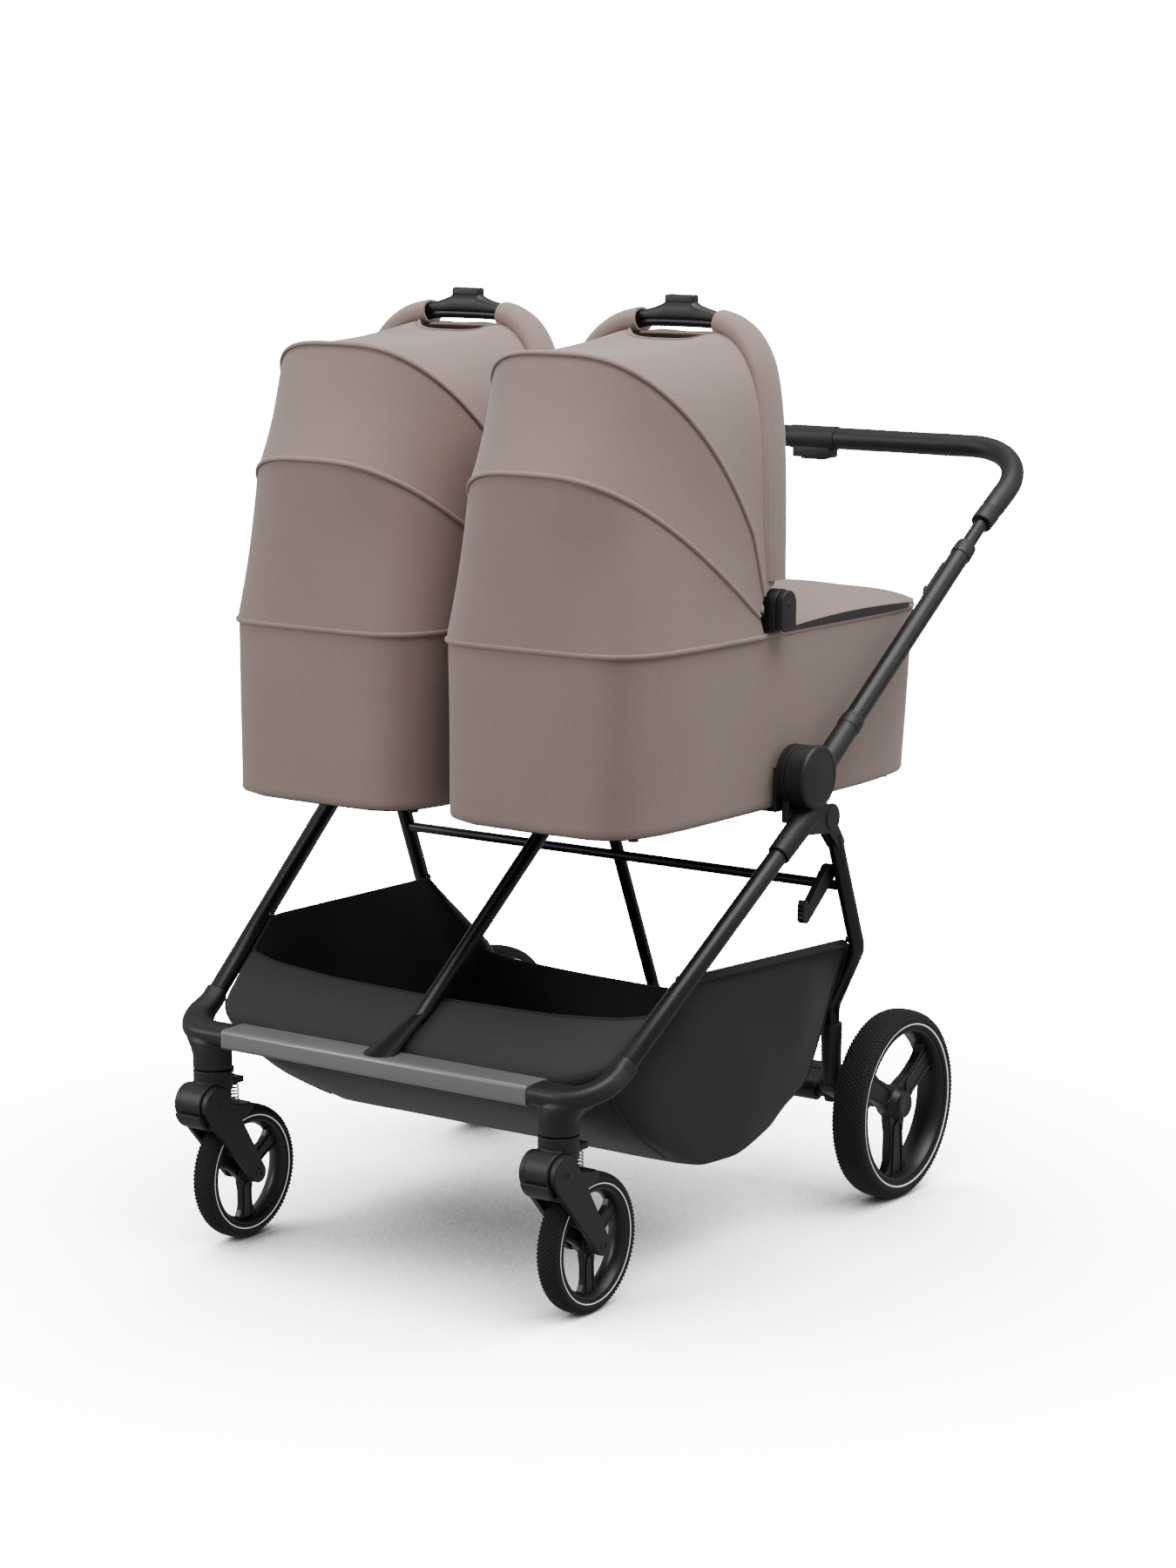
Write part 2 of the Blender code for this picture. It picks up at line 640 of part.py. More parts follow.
def build_cross_tube():
    low_z = CROSS_TUBE_Z - 0.03
    high_z = CROSS_TUBE_Z + 0.03
    tube = cross_tube()
    for side in (-1.0, 1.0):
        room = rod((side * REAR_LEG_X, rear_leg_line(low_z), low_z),
                   (side * REAR_LEG_X, rear_leg_line(high_z), high_z), REAR_LEG_R + CLEAR * 2, 20)
        beyond = box((side * REAR_LEG_X - 0.004, HUB_Y, low_z), (side * REAR_LEG_X + 0.004, AXLE_Y, high_z))
        tube = cut(tube, join(room, beyond))
    finish(tube, "cross_tube", "frame_tube")


def build_rear_axle():
    wheel_x = HALF_WIDTH - REAR_TYRE_W / 2
    stub_end = wheel_x + REAR_TYRE_W / 2 - 0.012
    tube = disc(-REAR_SOCKET.x, REAR_SOCKET.x, AXLE_Y, REAR_WHEEL_R, AXLE_TUBE_R, 14)
    for side in (-1.0, 1.0):
        x = side * REAR_SOCKET.x
        socket = rod((x, REAR_SOCKET.y, REAR_SOCKET_LOW), (x, REAR_SOCKET.y, REAR_SOCKET.z),
                     REAR_SOCKET_R - 0.0015, 14, REAR_SOCKET_R)
        arm = side_plate(
            capsule_outline((AXLE_Y, REAR_WHEEL_R), 0.019, (REAR_SOCKET.y, REAR_SOCKET_LOW), 0.0125),
            x - 0.011, x + 0.011)
        stub = disc(x, side * stub_end, AXLE_Y, REAR_WHEEL_R, REAR_STUB_R, 12)
        spacer = disc(x, side * (HALF_WIDTH - REAR_TYRE_W + 0.0030), AXLE_Y, REAR_WHEEL_R, 0.010, 12)
        bore = rod((x, REAR_SOCKET.y, REAR_SOCKET.z - 0.022), (x, REAR_SOCKET.y, REAR_SOCKET.z + 0.002),
                   REAR_LEG_R + CLEAR * 2)
        tube = cut(join(tube, arm, socket, stub, spacer), bore)
    top = Vector((0.0, rear_leg_line(PIVOT_Z - MIDDLE_PIVOT_R - 0.010), PIVOT_Z - MIDDLE_PIVOT_R - 0.010))
    low = Vector((0.0, MIDDLE_SOCKET.y, MIDDLE_SOCKET.z - 0.016))
    way = (top - low).normalized()
    socket = rod((0.0, AXLE_Y, REAR_WHEEL_R), low + way * 0.026, 0.0125)
    bore = rod(low - way * CLEAR, low + way * 0.05, MIDDLE_REAR_LEG_R + CLEAR * 2)
    tube = cut(join(tube, socket), bore)
    finish(tube, "rear_axle", "frame_tube", (0.0, AXLE_Y, REAR_WHEEL_R))


def build_brake_pedal():
    collar = disc(PEDAL_X - PEDAL_HALF, PEDAL_X + PEDAL_HALF, AXLE_Y, REAR_WHEEL_R, 0.0150)
    outline = capsule_outline((AXLE_Y, REAR_WHEEL_R), 0.013, (AXLE_Y + 0.052, REAR_WHEEL_R + 0.020), 0.006)
    arm = side_plate(outline, PEDAL_X - PEDAL_HALF * 0.7, PEDAL_X + PEDAL_HALF * 0.7)
    tread = box((PEDAL_X - PEDAL_HALF, AXLE_Y + 0.034, REAR_WHEEL_R + 0.012),
                (PEDAL_X + PEDAL_HALF, AXLE_Y + 0.070, REAR_WHEEL_R + 0.024), 0.003)
    bore = disc(PEDAL_X - PEDAL_HALF - 0.002, PEDAL_X + PEDAL_HALF + 0.002, AXLE_Y, REAR_WHEEL_R,
                AXLE_TUBE_R + RUNNING, 14)
    pedal = cut(join(collar, arm, tread), bore)
    finish(pedal, "brake_pedal", "plastic", (PEDAL_X, AXLE_Y, REAR_WHEEL_R))


def build_fold_latch():
    pivot_y = rear_leg_line(LATCH_Z) - 0.009
    tip = (AXLE_Y - 0.250, 0.452)
    x_low = LATCH_X - LATCH_T
    bar = side_plate(capsule_outline((pivot_y, LATCH_Z), 0.0125, tip, 0.0085), x_low, LATCH_X)
    hook = side_plate(capsule_outline(tip, 0.0085, (tip[0] - 0.002, tip[1] + 0.020), 0.004), x_low, LATCH_X)
    finish(join(bar, hook), "fold_latch", "plastic", (LATCH_X, pivot_y, LATCH_Z))


# Wheels and castors
def tyre(radius, width, bead_r, centre, arc_steps):
    half = width / 2
    middle_r = (radius + bead_r) / 2
    depth = (radius - bead_r) / 2
    profile = []
    for step in range(arc_steps + 1):
        angle = math.pi * (0.5 - (step / arc_steps - 0.5) * 1.16)
        out, across = superellipse(angle - math.pi / 2, 2.4)
        profile.append((middle_r + depth * out, half * across))
    profile = [(min(r, radius), x) for r, x in profile]
    profile[arc_steps // 2] = (radius, 0.0)
    bead_half = half * 0.80
    profile += [(bead_r, profile[-1][1] / abs(profile[-1][1]) * bead_half),
                (bead_r, profile[0][1] / abs(profile[0][1]) * bead_half)]
    return turned(profile, centre)


def rim(bead_r, width, stub_r, centre, hub_r, hub_half, spoke_w):
    """A dished ring, three flat spokes with raised edges, and a bored hub."""
    x, y, z = centre
    half = width / 2 * 0.80
    seat = bead_r - CLEAR
    outer_lip = seat - RIM_WALL * 0.6
    waist = seat - RIM_WALL * 2.0
    ring = turned([(seat, half), (outer_lip, half), (waist, 0.0), (outer_lip, -half), (seat, -half)], centre)
    hub = disc(x - hub_half, x + hub_half, y, z, hub_r, 16)
    shape = join(ring, hub)
    for index in range(SPOKE_COUNT):
        angle = math.radians(-90.0) + index * 2 * math.pi / SPOKE_COUNT
        way = Vector((math.cos(angle), math.sin(angle)))
        inner = Vector((y, z)) + way * hub_r * 0.3
        outer = Vector((y, z)) + way * (waist + RIM_WALL * 0.3)
        across = Vector((-way.y, way.x))
        near = spoke_w * 0.5
        far = spoke_w * 0.42
        outline = [inner + across * near, inner - across * near, outer - across * far, outer + across * far]
        spoke = side_plate([tuple(point) for point in outline], x - hub_half * 0.42, x + hub_half * 0.42)
        shape = join(shape, spoke)
    bore = disc(x - hub_half - 0.002, x + hub_half + 0.002, y, z, stub_r + RUNNING * 1.5, 12)
    return cut(shape, bore)


def build_rear_wheels():
    for side, suffix in ((-1.0, "left"), (1.0, "right")):
        x = side * (HALF_WIDTH - REAR_TYRE_W / 2)
        centre = (x, AXLE_Y, REAR_WHEEL_R)
        finish(tyre(REAR_WHEEL_R, REAR_TYRE_W, REAR_BEAD_R, centre, 6), "rear_tyre_" + suffix, "tyre", centre)
        wheel = rim(REAR_BEAD_R, REAR_TYRE_W, REAR_STUB_R, centre, 0.024, 0.0185, 0.040)
        finish(wheel, "rear_rim_" + suffix, "plastic", centre)


def build_castor(side, suffix):
    x = side * FRONT_TRACK_HALF
    boss_y = AXLE_Y - WHEELBASE - CASTOR_TRAIL
    wheel_y = AXLE_Y - WHEELBASE
    pivot_y = wheel_y - FORK_PIVOT_AHEAD
    pivot = (x, pivot_y, FORK_PIVOT_Z)

    neck = rod((x, boss_y, FORK_PIVOT_Z), (x, boss_y, BOSS_LOW_Z - CLEAR), BOSS_R, 20)
    stem = rod((x, boss_y, FORK_PIVOT_Z), (x, boss_y, BOSS_LOW_Z + STEM_LENGTH), STEM_R, 12)
    barrel = disc(x - PLATE_INNER + CLEAR, x + PLATE_INNER - CLEAR, pivot_y, FORK_PIVOT_Z, BARREL_R)
    ear_y = boss_y + SPRING_BACK
    ear = box((x - 0.009, boss_y, SPRING_HIGH + CLEAR),
              (x + 0.009, ear_y + 0.009, SPRING_HIGH + 0.010), 0.0015)
    below = box((x - 0.04, boss_y + 0.006, FORK_PIVOT_Z - 0.04),
                (x + 0.04, boss_y + 0.06, SPRING_LOW + 0.010))
    lock_bed = box((x - 0.0075, boss_y + BOSS_R - 0.001, BOSS_LOW_Z - 0.021),
                   (x + 0.0075, boss_y + BOSS_R + 0.009, BOSS_LOW_Z - 0.015))
    pin_room = disc(x - 0.05, x + 0.05, pivot_y, FORK_PIVOT_Z, FORK_BOLT_R + RUNNING, 12)
    swivel = cut(join(neck, barrel), below)
    for low, high in ((-0.05, -PLATE_INNER + CLEAR), (PLATE_INNER - CLEAR, 0.05)):
        swivel = cut(swivel, box((x + low, pivot_y - 0.06, FORK_PIVOT_Z - 0.06),
                                 (x + high, ear_y + 0.02, FORK_PIVOT_Z + PLATE_R_TOP + 0.0015)))
    swivel = cut(join(swivel, ear, lock_bed, stem), pin_room)
    finish(swivel, "castor_swivel_" + suffix, "plastic", (x, boss_y, BOSS_LOW_Z))

    lock = box((x - 0.0065, boss_y + BOSS_R + 0.0006, BOSS_LOW_Z - 0.0147),
               (x + 0.0065, boss_y + BOSS_R + 0.0110, BOSS_LOW_Z - 0.0040), 0.0015)
    finish(lock, "swivel_lock_" + suffix, "plastic", (x, boss_y + BOSS_R, BOSS_LOW_Z - 0.0147))

    plates = []
    outline = capsule_outline((pivot_y, FORK_PIVOT_Z), PLATE_R_TOP, (wheel_y, FRONT_WHEEL_R), PLATE_R_LOW)
    for low, high in ((-PLATE_OUTER, -PLATE_INNER), (PLATE_INNER, PLATE_OUTER)):
        arm = capsule_outline((pivot_y + 0.022, FORK_PIVOT_Z - 0.020), 0.018,
                              (ear_y, SPRING_LOW - 0.0058), 0.0055)
        plates.append(join(side_plate(outline, x + low, x + high), side_plate(arm, x + low, x + high)))
    skirt = turned(
        [(BARREL_R + 0.0062, PLATE_INNER + 0.001), (BARREL_R + 0.0062, -PLATE_INNER - 0.001),
         (BARREL_R + 0.0010, -PLATE_INNER - 0.001), (BARREL_R + 0.0010, PLATE_INNER + 0.001)], pivot, 16)
    keep = box((x - 0.04, pivot_y - 0.05, FORK_PIVOT_Z - 0.05),
               (x + 0.04, pivot_y + 0.004, FORK_PIVOT_Z - 0.012))
    skirt = boolean(skirt, keep, "INTERSECT")
    rear_ear = box((x - 0.0200, ear_y - 0.014, SPRING_LOW - 0.0075),
                   (x + 0.0200, ear_y + 0.010, SPRING_LOW - CLEAR), 0.0015)
    bolt_half = PLATE_OUTER + 0.002
    bolt = disc(x - bolt_half, x + bolt_half, pivot_y, FORK_PIVOT_Z, FORK_BOLT_R, 12)
    axle_bolt = disc(x - bolt_half, x + bolt_half, wheel_y, FRONT_WHEEL_R, FRONT_STUB_R, 12)
    body = join(plates[0], skirt, plates[1], rear_ear, bolt, axle_bolt)
    finish(body, "castor_fork_" + suffix, "plastic", pivot)

    coil = []
    points_per_turn = 8
    pitch = (SPRING_HIGH - SPRING_LOW - 2 * SPRING_WIRE) / SPRING_TURNS
    for step in range(SPRING_TURNS * points_per_turn + 1):
        angle = 2 * math.pi * step / points_per_turn
        coil.append((x + SPRING_R * math.cos(angle), ear_y + SPRING_R * math.sin(angle),
                     SPRING_LOW + SPRING_WIRE + pitch * step / points_per_turn))
    print("castor spring gap between turns", round(pitch - 2 * SPRING_WIRE, 5))
    finish(wire(coil, SPRING_WIRE, 1), "castor_spring_" + suffix, "spring_steel", (x, ear_y, SPRING_LOW))

    centre = (x, wheel_y, FRONT_WHEEL_R)
    finish(tyre(FRONT_WHEEL_R, FRONT_TYRE_W, FRONT_BEAD_R, centre, 4), "front_tyre_" + suffix, "tyre", centre)
    wheel = rim(FRONT_BEAD_R, FRONT_TYRE_W, FRONT_STUB_R, centre, 0.016, PLATE_INNER - 0.0012, 0.026)
    finish(wheel, "front_rim_" + suffix, "plastic", centre)


# The handle
ARM_WAY = Vector((0.0, math.cos(ARM_ANGLE), math.sin(ARM_ANGLE)))
ARM_FOOT = Vector((ARM_X, HUB_Y + ARM_DROP * math.sin(ARM_ANGLE), HUB_Z - ARM_DROP * math.cos(ARM_ANGLE)))


def arm_point(distance, side=1.0):
    point = ARM_FOOT + ARM_WAY * distance
    return Vector((point.x * side, point.y, point.z))


def build_arms():
    drum = disc(HUB_SPLIT_X, HUB_OUTER_X, HUB_Y, HUB_Z, HUB_R, 24)
    shroud = rod(arm_point(0.0), arm_point(SHROUD_END), SHROUD_R)
    tube = rod(arm_point(0.010), arm_point(OUTER_TUBE_END + 0.002), ARM_TUBE_R)
    collar = rod(arm_point(OUTER_TUBE_END), arm_point(OUTER_TUBE_END + COLLAR_LENGTH),
                 SHROUD_R, 16, SHROUD_R - 0.001)
    inner_side = box((HUB_INNER_X - 0.01, HUB_Y - 0.05, HUB_Z - 0.06),
                     (HUB_SPLIT_X, HUB_Y + 0.045, HUB_Z + 0.06))
    bore = rod(arm_point(0.060), arm_point(0.6), INNER_TUBE_R + CLEAR * 2, 12)
    bearing = disc(HUB_SPLIT_X - 0.01, HUB_SPLIT_X + BEARING_LENGTH + 0.0006, HUB_Y, HUB_Z,
                   BEARING_R + RUNNING, 16)
    slot = lever_strip(ARM_X - ARM_TUBE_R - LEVER_PROUD, ARM_X - INNER_TUBE_R + 0.001, 0.0006)
    arm = cut(join(drum, shroud, tube, collar), inner_side, bore, bearing, slot)
    finish(mirrored(arm), "handle_arm_left", "frame_tube", (-HUB_SPLIT_X, HUB_Y, HUB_Z))
    finish(arm, "handle_arm_right", "frame_tube", (HUB_SPLIT_X, HUB_Y, HUB_Z))


def lever_strip(x_low, x_high, extra=0.0):
    """A strip along the inner side of an arm, given as its span in x."""
    low = arm_point(LEVER_AT - LEVER_LENGTH / 2 - extra)
    high = arm_point(LEVER_AT + LEVER_LENGTH / 2 + extra)
    across = Vector((0.0, -ARM_WAY.z, ARM_WAY.y)) * (LEVER_HALF + extra)
    outline = [low - across, high - across, high + across, low + across]
    return side_plate([(point.y, point.z) for point in outline], x_low, x_high)


def build_levers():
    x_skin = ARM_X - ARM_TUBE_R
    x_face = x_skin - LEVER_PROUD
    knob_at = arm_point(LEVER_AT - LEVER_LENGTH / 3)
    knob = disc(x_face - 0.0025, x_face + 0.001, knob_at.y, knob_at.z, LEVER_KNOB_R, 12)
    lever = join(lever_strip(x_face, x_skin + LEVER_SINK), knob)
    origin = (x_face, knob_at.y, knob_at.z)
    finish(mirrored(lever), "height_lever_left", "plastic", (-origin[0], origin[1], origin[2]))
    finish(lever, "height_lever_right", "plastic", origin)


def handle_corners(start):
    corner = Vector((ARM_X, HANDLE_BAR_Y, HANDLE_BAR_Z))
    right = [arm_point(start), corner]
    left = [Vector((-corner.x, corner.y, corner.z)), arm_point(start, -1.0)]
    return bent_path(right + left, HANDLE_BEND)


def rounded_handle(start):
    """Points from the right arm, round both corners, to the left arm."""
    lead = arm_point(GRIP_START - GRIP_COLLAR)
    lead_left = arm_point(GRIP_START - GRIP_COLLAR, -1.0)
    grip = handle_corners(GRIP_START - GRIP_COLLAR)
    if start < GRIP_START - GRIP_COLLAR:
        return [arm_point(start), lead, *grip[1:-1], lead_left, arm_point(start, -1.0)]
    return grip


def grip_route():
    route = rounded_handle(GRIP_START - GRIP_COLLAR)
    way = (route[1] - route[0]).normalized()
    first = route[0] + way * GRIP_COLLAR
    last = Vector((-first.x, first.y, first.z))
    return [first, *route[1:-1], last]


def build_handle():
    route = rounded_handle(INNER_TUBE_START)
    bar = wire(route, INNER_TUBE_R)
    grip_first = grip_route()[0]
    for side in (1.0, -1.0):
        start = arm_point(GRIP_START - GRIP_COLLAR, side)
        end = Vector((grip_first.x * side, grip_first.y, grip_first.z))
        bar = join(bar, rod(start, end - (end - start).normalized() * CLEAR, SHROUD_R))
    low_z = HANDLE_BAR_Z - GRIP_R - TRIGGER_DEPTH + 0.003
    housing = box((-TRIGGER_HALF, HANDLE_BAR_Y - HOUSING_HALF, low_z),
                  (TRIGGER_HALF, HANDLE_BAR_Y + HOUSING_HALF, HANDLE_BAR_Z - INNER_TUBE_R + 0.002), 0.003)
    room = box((-TRIGGER_HALF * 0.62, HANDLE_BAR_Y - 0.0085, low_z - 0.002),
               (TRIGGER_HALF * 0.62, HANDLE_BAR_Y + 0.0085, low_z + 0.010))
    bar = join(bar, cut(housing, room))
    finish(bar, "handle_bar", "frame_tube", (0.0, HANDLE_BAR_Y, HANDLE_BAR_Z))

    trigger = box((-TRIGGER_HALF * 0.62 + 0.0006, HANDLE_BAR_Y - 0.0079, low_z - 0.0025),
                  (TRIGGER_HALF * 0.62 - 0.0006, HANDLE_BAR_Y + 0.0079, low_z + 0.0050), 0.0015)
    finish(trigger, "fold_trigger", "plastic", (0.0, HANDLE_BAR_Y, low_z))

    sleeve = pipe(grip_route(), GRIP_R, INNER_TUBE_R + CLEAR, 3)
    room_half = HOUSING_HALF + CLEAR
    notch = box((-TRIGGER_HALF - CLEAR, HANDLE_BAR_Y - room_half, low_z - 0.01),
                (TRIGGER_HALF + CLEAR, HANDLE_BAR_Y + room_half, HANDLE_BAR_Z - INNER_TUBE_R + 0.0025))
    finish(cut(sleeve, notch), "handle_grip", "grip", (0.0, HANDLE_BAR_Y, HANDLE_BAR_Z))


# The basket
def build_basket():
    count = 24
    # Each ring: front y, rear y, half width, front z, rear z, side lift and squareness
    rings = (
        (BASKET_FRONT_Y + 0.084, AXLE_Y - 0.094, BASKET_HALF, 0.346, 0.285, 0.085, 3.6),
        (BASKET_FRONT_Y + 0.010, AXLE_Y - 0.090, BASKET_HALF - 0.004, 0.293, 0.262, 0.045, 3.6),
        (BASKET_FRONT_Y, AXLE_Y - 0.096, BASKET_HALF - 0.012, 0.262, 0.240, 0.010, 3.4),
        (BASKET_FRONT_Y + 0.030, AXLE_Y - 0.125, BASKET_HALF - 0.026, 0.210, 0.192, -0.014, 3.0),
        (BASKET_FRONT_Y + 0.130, AXLE_Y - 0.220, BASKET_HALF - 0.116, 0.164, 0.154, -0.010, 2.7),
    )
    skins = []
    for front, rear, half, front_z, rear_z, lift, power in rings:
        ring = []
        for index in range(count):
            across, along = superellipse(2 * math.pi * index / count, power)
            y = (front + rear) / 2 + (rear - front) / 2 * along
            level = front_z + (rear_z - front_z) * (along + 1) / 2
            ring.append([half * across, y, level + lift * abs(across) ** 3 * (1 - abs(along) ** 3)])
        skins.append(ring)
    # The hem is riveted to the side legs at four ears
    hem = skins[0]
    quarter = count // 4
    for index in (quarter - 3, 3 * quarter + 2, 3 * quarter - 2, quarter + 3):
        side = 1.0 if hem[index][0] > 0 else -1.0
        if hem[index][1] < HUB_Y:
            leg = leg_point(1.0, HEM_FRONT_Z)
            hem[index] = [side * (leg.x - SIDE_LEG_R - CLEAR * 2), leg.y, leg.z]
        else:
            rear_x = REAR_LEG_X - REAR_LEG_R - CLEAR * 2
            hem[index] = [side * rear_x, rear_leg_line(HEM_REAR_Z), HEM_REAR_Z]
    bm = bmesh.new()
    rows = [[bm.verts.new(point) for point in ring] for ring in skins]
    for high, low in zip(rows, rows[1:]):
        for index in range(count):
            after = (index + 1) % count
            bm.faces.new((low[index], low[after], high[after], high[index]))
    bm.faces.new(rows[-1][::-1])
    bag = from_bmesh("basket", bm)
    skin = bag.modifiers.new("cloth", "SOLIDIFY")
    skin.thickness = BASKET_T
    skin.offset = -1.0
    bag = as_mesh(bag)
    middle_leg_room = rod((0.0, MIDDLE_SOCKET.y, MIDDLE_SOCKET.z - 0.02),
                          (0.0, rear_leg_line(0.45), 0.45), MIDDLE_REAR_LEG_R + 0.004, 20)
    finish(cut(bag, middle_leg_room), "basket", "basket_fabric")


# The carrycots
COT_LEVEL = Matrix.Translation((0.0, HUB_Y, COT_LOW_Z)) @ Matrix.Rotation(-COT_TILT, 4, "X") \
    @ Matrix.Translation((0.0, -HUB_Y, -COT_LOW_Z))


def cot_ring(half, front, rear, z, inset=0.0):
    """A level outline of the tub, which is a rectangle with well-rounded corners."""
    ring = []
    for index in range(COT_POINTS):
        across, along = superellipse(2 * math.pi * index / COT_POINTS, COT_SQUARENESS)
        y = (front + rear) / 2 + ((rear - front) / 2 - inset) * along
        ring.append(Vector((COT_X + (half - inset) * across, y, z)))
    return ring


def cot_section(share, inset=0.0, z_shift=0.0):
    """A level section of the tub, 0 at its floor and 1 at its rim."""
    half = COT_LOW_HALF + (COT_RIM_HALF - COT_LOW_HALF) * share
    rear = COT_REAR_LOW_Y + (COT_REAR_Y - COT_REAR_LOW_Y) * share
    z = COT_LOW_Z + (COT_RIM_Z - COT_LOW_Z) * share + z_shift
    return cot_ring(half, COT_FRONT_Y, rear, z, inset)


def build_tub():
    outer = [cot_section(0.0, 0.006), cot_section(0.025, 0.0), cot_section(0.5), cot_section(1.0)]
    inner = [cot_section(0.04, COT_WALL), cot_section(0.5, COT_WALL), cot_section(1.0, COT_WALL, 0.004)]
    tub = cut(loft(outer, cap_ends=True), loft(inner, cap_ends=True))
    for side in (-1.0, 1.0):
        wall = COT_X + side * COT_RIM_HALF
        outline = [(HOOD_HINGE_Y - HINGE_BLOCK_R, COT_RIM_Z - 0.004),
                   (HOOD_HINGE_Y + HINGE_BLOCK_R, COT_RIM_Z - 0.004)]
        for step in range(9):
            angle = math.pi * step / 8
            outline.append((HOOD_HINGE_Y + HINGE_BLOCK_R * math.cos(angle),
                            HOOD_HINGE_Z + HINGE_BLOCK_R * math.sin(angle)))
        block = side_plate(outline, wall - HINGE_BLOCK_HALF, wall + HINGE_BLOCK_HALF)
        pin = disc(*sorted((wall - side * HINGE_PIN_REACH, wall)), HOOD_HINGE_Y, HOOD_HINGE_Z, HINGE_PIN_R, 8)
        tub = join(tub, join(block, pin))
    return tub


def build_base():
    top = COT_LOW_Z - CLEAR
    low = COT_LOW_Z - 0.0023
    plate = loft([cot_ring(COT_LOW_HALF, COT_FRONT_Y, COT_REAR_LOW_Y, z, 0.014) for z in (top - BASE_T, top)],
                 cap_ends=True)
    for x_side in (-1.0, 1.0):
        for y in (COT_FRONT_Y + 0.062, COT_REAR_LOW_Y - 0.062):
            x = COT_X + x_side * 0.128
            plate = join(plate, rod((x, y, top - 0.0065), (x, y, top - 0.001), 0.007, 8))
    wall = COT_X + COT_RIM_HALF
    strap_x = HUB_INNER_X - 0.0012
    strap = box((wall + CLEAR - 0.001, HUB_Y - STRAP_HALF, low), (strap_x, HUB_Y + STRAP_HALF, HUB_Z + 0.012))
    foot = box((COT_X + COT_LOW_HALF - 0.030, HUB_Y - STRAP_HALF, low), (strap_x, HUB_Y + STRAP_HALF, top))
    tongue = box((wall, HUB_Y - TONGUE_HALF, HUB_Z - 0.0205),
                 (HUB_INNER_X + TONGUE_DEPTH, HUB_Y + TONGUE_HALF, HUB_Z + 0.008))
    return join(plate, foot, strap, tongue)


ARCHES = {
    "front": (FRONT_RIB_ANGLE, FRONT_RIB_REACH, 2.7),
    "middle": (MIDDLE_RIB_ANGLE, MIDDLE_RIB_REACH, 2.5),
    "rear_edge": (HOOP_ANGLE, GRIP_REACH, 4.2),
    "hoop": (HOOP_ANGLE, HOOP_REACH, 4.2),
}


def hood_point(across, out, angle):
    """A point in the plane that leans at the angle from the hinge of the hoods."""
    return Vector((COT_X + across,
                   HOOD_HINGE_Y - out * math.cos(angle),
                   HOOD_HINGE_Z + out * math.sin(angle)))


def arch(name, half, offset=0.0, count=12):
    """Points of an arch, or of a line that runs beside it at a set distance."""
    angle, reach, power = ARCHES[name]
    first = math.asin((ARCH_START / reach) ** (power / 2))
    points = []
    for step in range(count + 1):
        across, out = superellipse(first + (math.pi - 2 * first) * step / count, power)
        aside = math.asin(offset / (out * reach))
        points.append(hood_point(across * half, out * reach, angle + aside))
    return points


def rim_arch(half, z, count=12):
    """The part of the tub's rim that the hood's front panel is fixed to."""
    middle_y = (COT_FRONT_Y + COT_REAR_Y) / 2
    reach = (COT_REAR_Y - COT_FRONT_Y) / 2 - 0.001
    start = (middle_y - HOOD_HINGE_Y + ARCH_START) / reach
    first = math.asin(start ** (COT_SQUARENESS / 2))
    points = []
    for step in range(count + 1):
        across, out = superellipse(first + (math.pi - 2 * first) * step / count, COT_SQUARENESS)
        points.append(Vector((COT_X + across * half, middle_y - out * reach, z)))
    return points


def panel(low_arch, high_arch, bands=2):
    """A fabric skin between two arches, a little fuller in the middle."""
    hinge = Vector((COT_X, HOOD_HINGE_Y, HOOD_HINGE_Z))
    rings = []
    for band in range(bands + 1):
        share = band / bands
        swell = 1.0 + 0.012 * math.sin(math.pi * share)
        ring = []
        for low, high in zip(low_arch, high_arch):
            out = low.lerp(high, share) - hinge
            ring.append(hinge + Vector((out.x, out.y * swell, out.z * swell)))
        rings.append(ring)
    return loft(rings, closed_rings=False, thickness=PANEL_T)


def hinge_eye(low, high, radius):
    eye = disc(low, high, HOOD_HINGE_Y, HOOD_HINGE_Z, radius, 10)
    bore = disc(low - 0.002, high + 0.002, HOOD_HINGE_Y, HOOD_HINGE_Z, HINGE_PIN_R + RUNNING * 2, 8)
    return eye, bore


def rib(name, eye_depth):
    """A sprung arch whose two eyes turn on the hinge pins."""
    angle = ARCHES[name][0]
    eye_x = HOOD_HALF - eye_depth
    route = [hood_point(eye_x, 0.004, angle), hood_point(eye_x, EYE_NECK, angle), *arch(name, HOOD_HALF),
             hood_point(-eye_x, EYE_NECK, angle), hood_point(-eye_x, 0.004, angle)]
    shape = wire(route, RIB_R, 0)
    for side in (-1.0, 1.0):
        middle = COT_X + side * eye_x
        eye, bore = hinge_eye(middle - 0.0016, middle + 0.0016, 0.0075)
        shape = cut(join(shape, eye), bore)
    return shape


def build_hoop():
    foot = 0.004
    shape = wire([hood_point(HOOP_HALF, foot, HOOP_ANGLE), *arch("hoop", HOOP_HALF),
                  hood_point(-HOOP_HALF, foot, HOOP_ANGLE)], HOOP_R, 2)
    for side in (-1.0, 1.0):
        middle = COT_X + side * (HOOD_HALF - HOOP_EYE_DEPTH)
        low = middle - 0.0017
        high = middle + 0.0017
        for near, far in ((low - 0.03, low), (high, high + 0.03)):
            shape = cut(shape, box((near, HOOD_HINGE_Y - 0.02, HOOD_HINGE_Z - 0.02),
                                   (far, HOOD_HINGE_Y + 0.02, HOOD_HINGE_Z + 0.025)))
        eye, bore = hinge_eye(low, high, 0.0095)
        shape = cut(join(shape, eye), bore)
    grip, button_bed = carry_grip(0.0)
    return cut(join(shape, grip), button_bed)


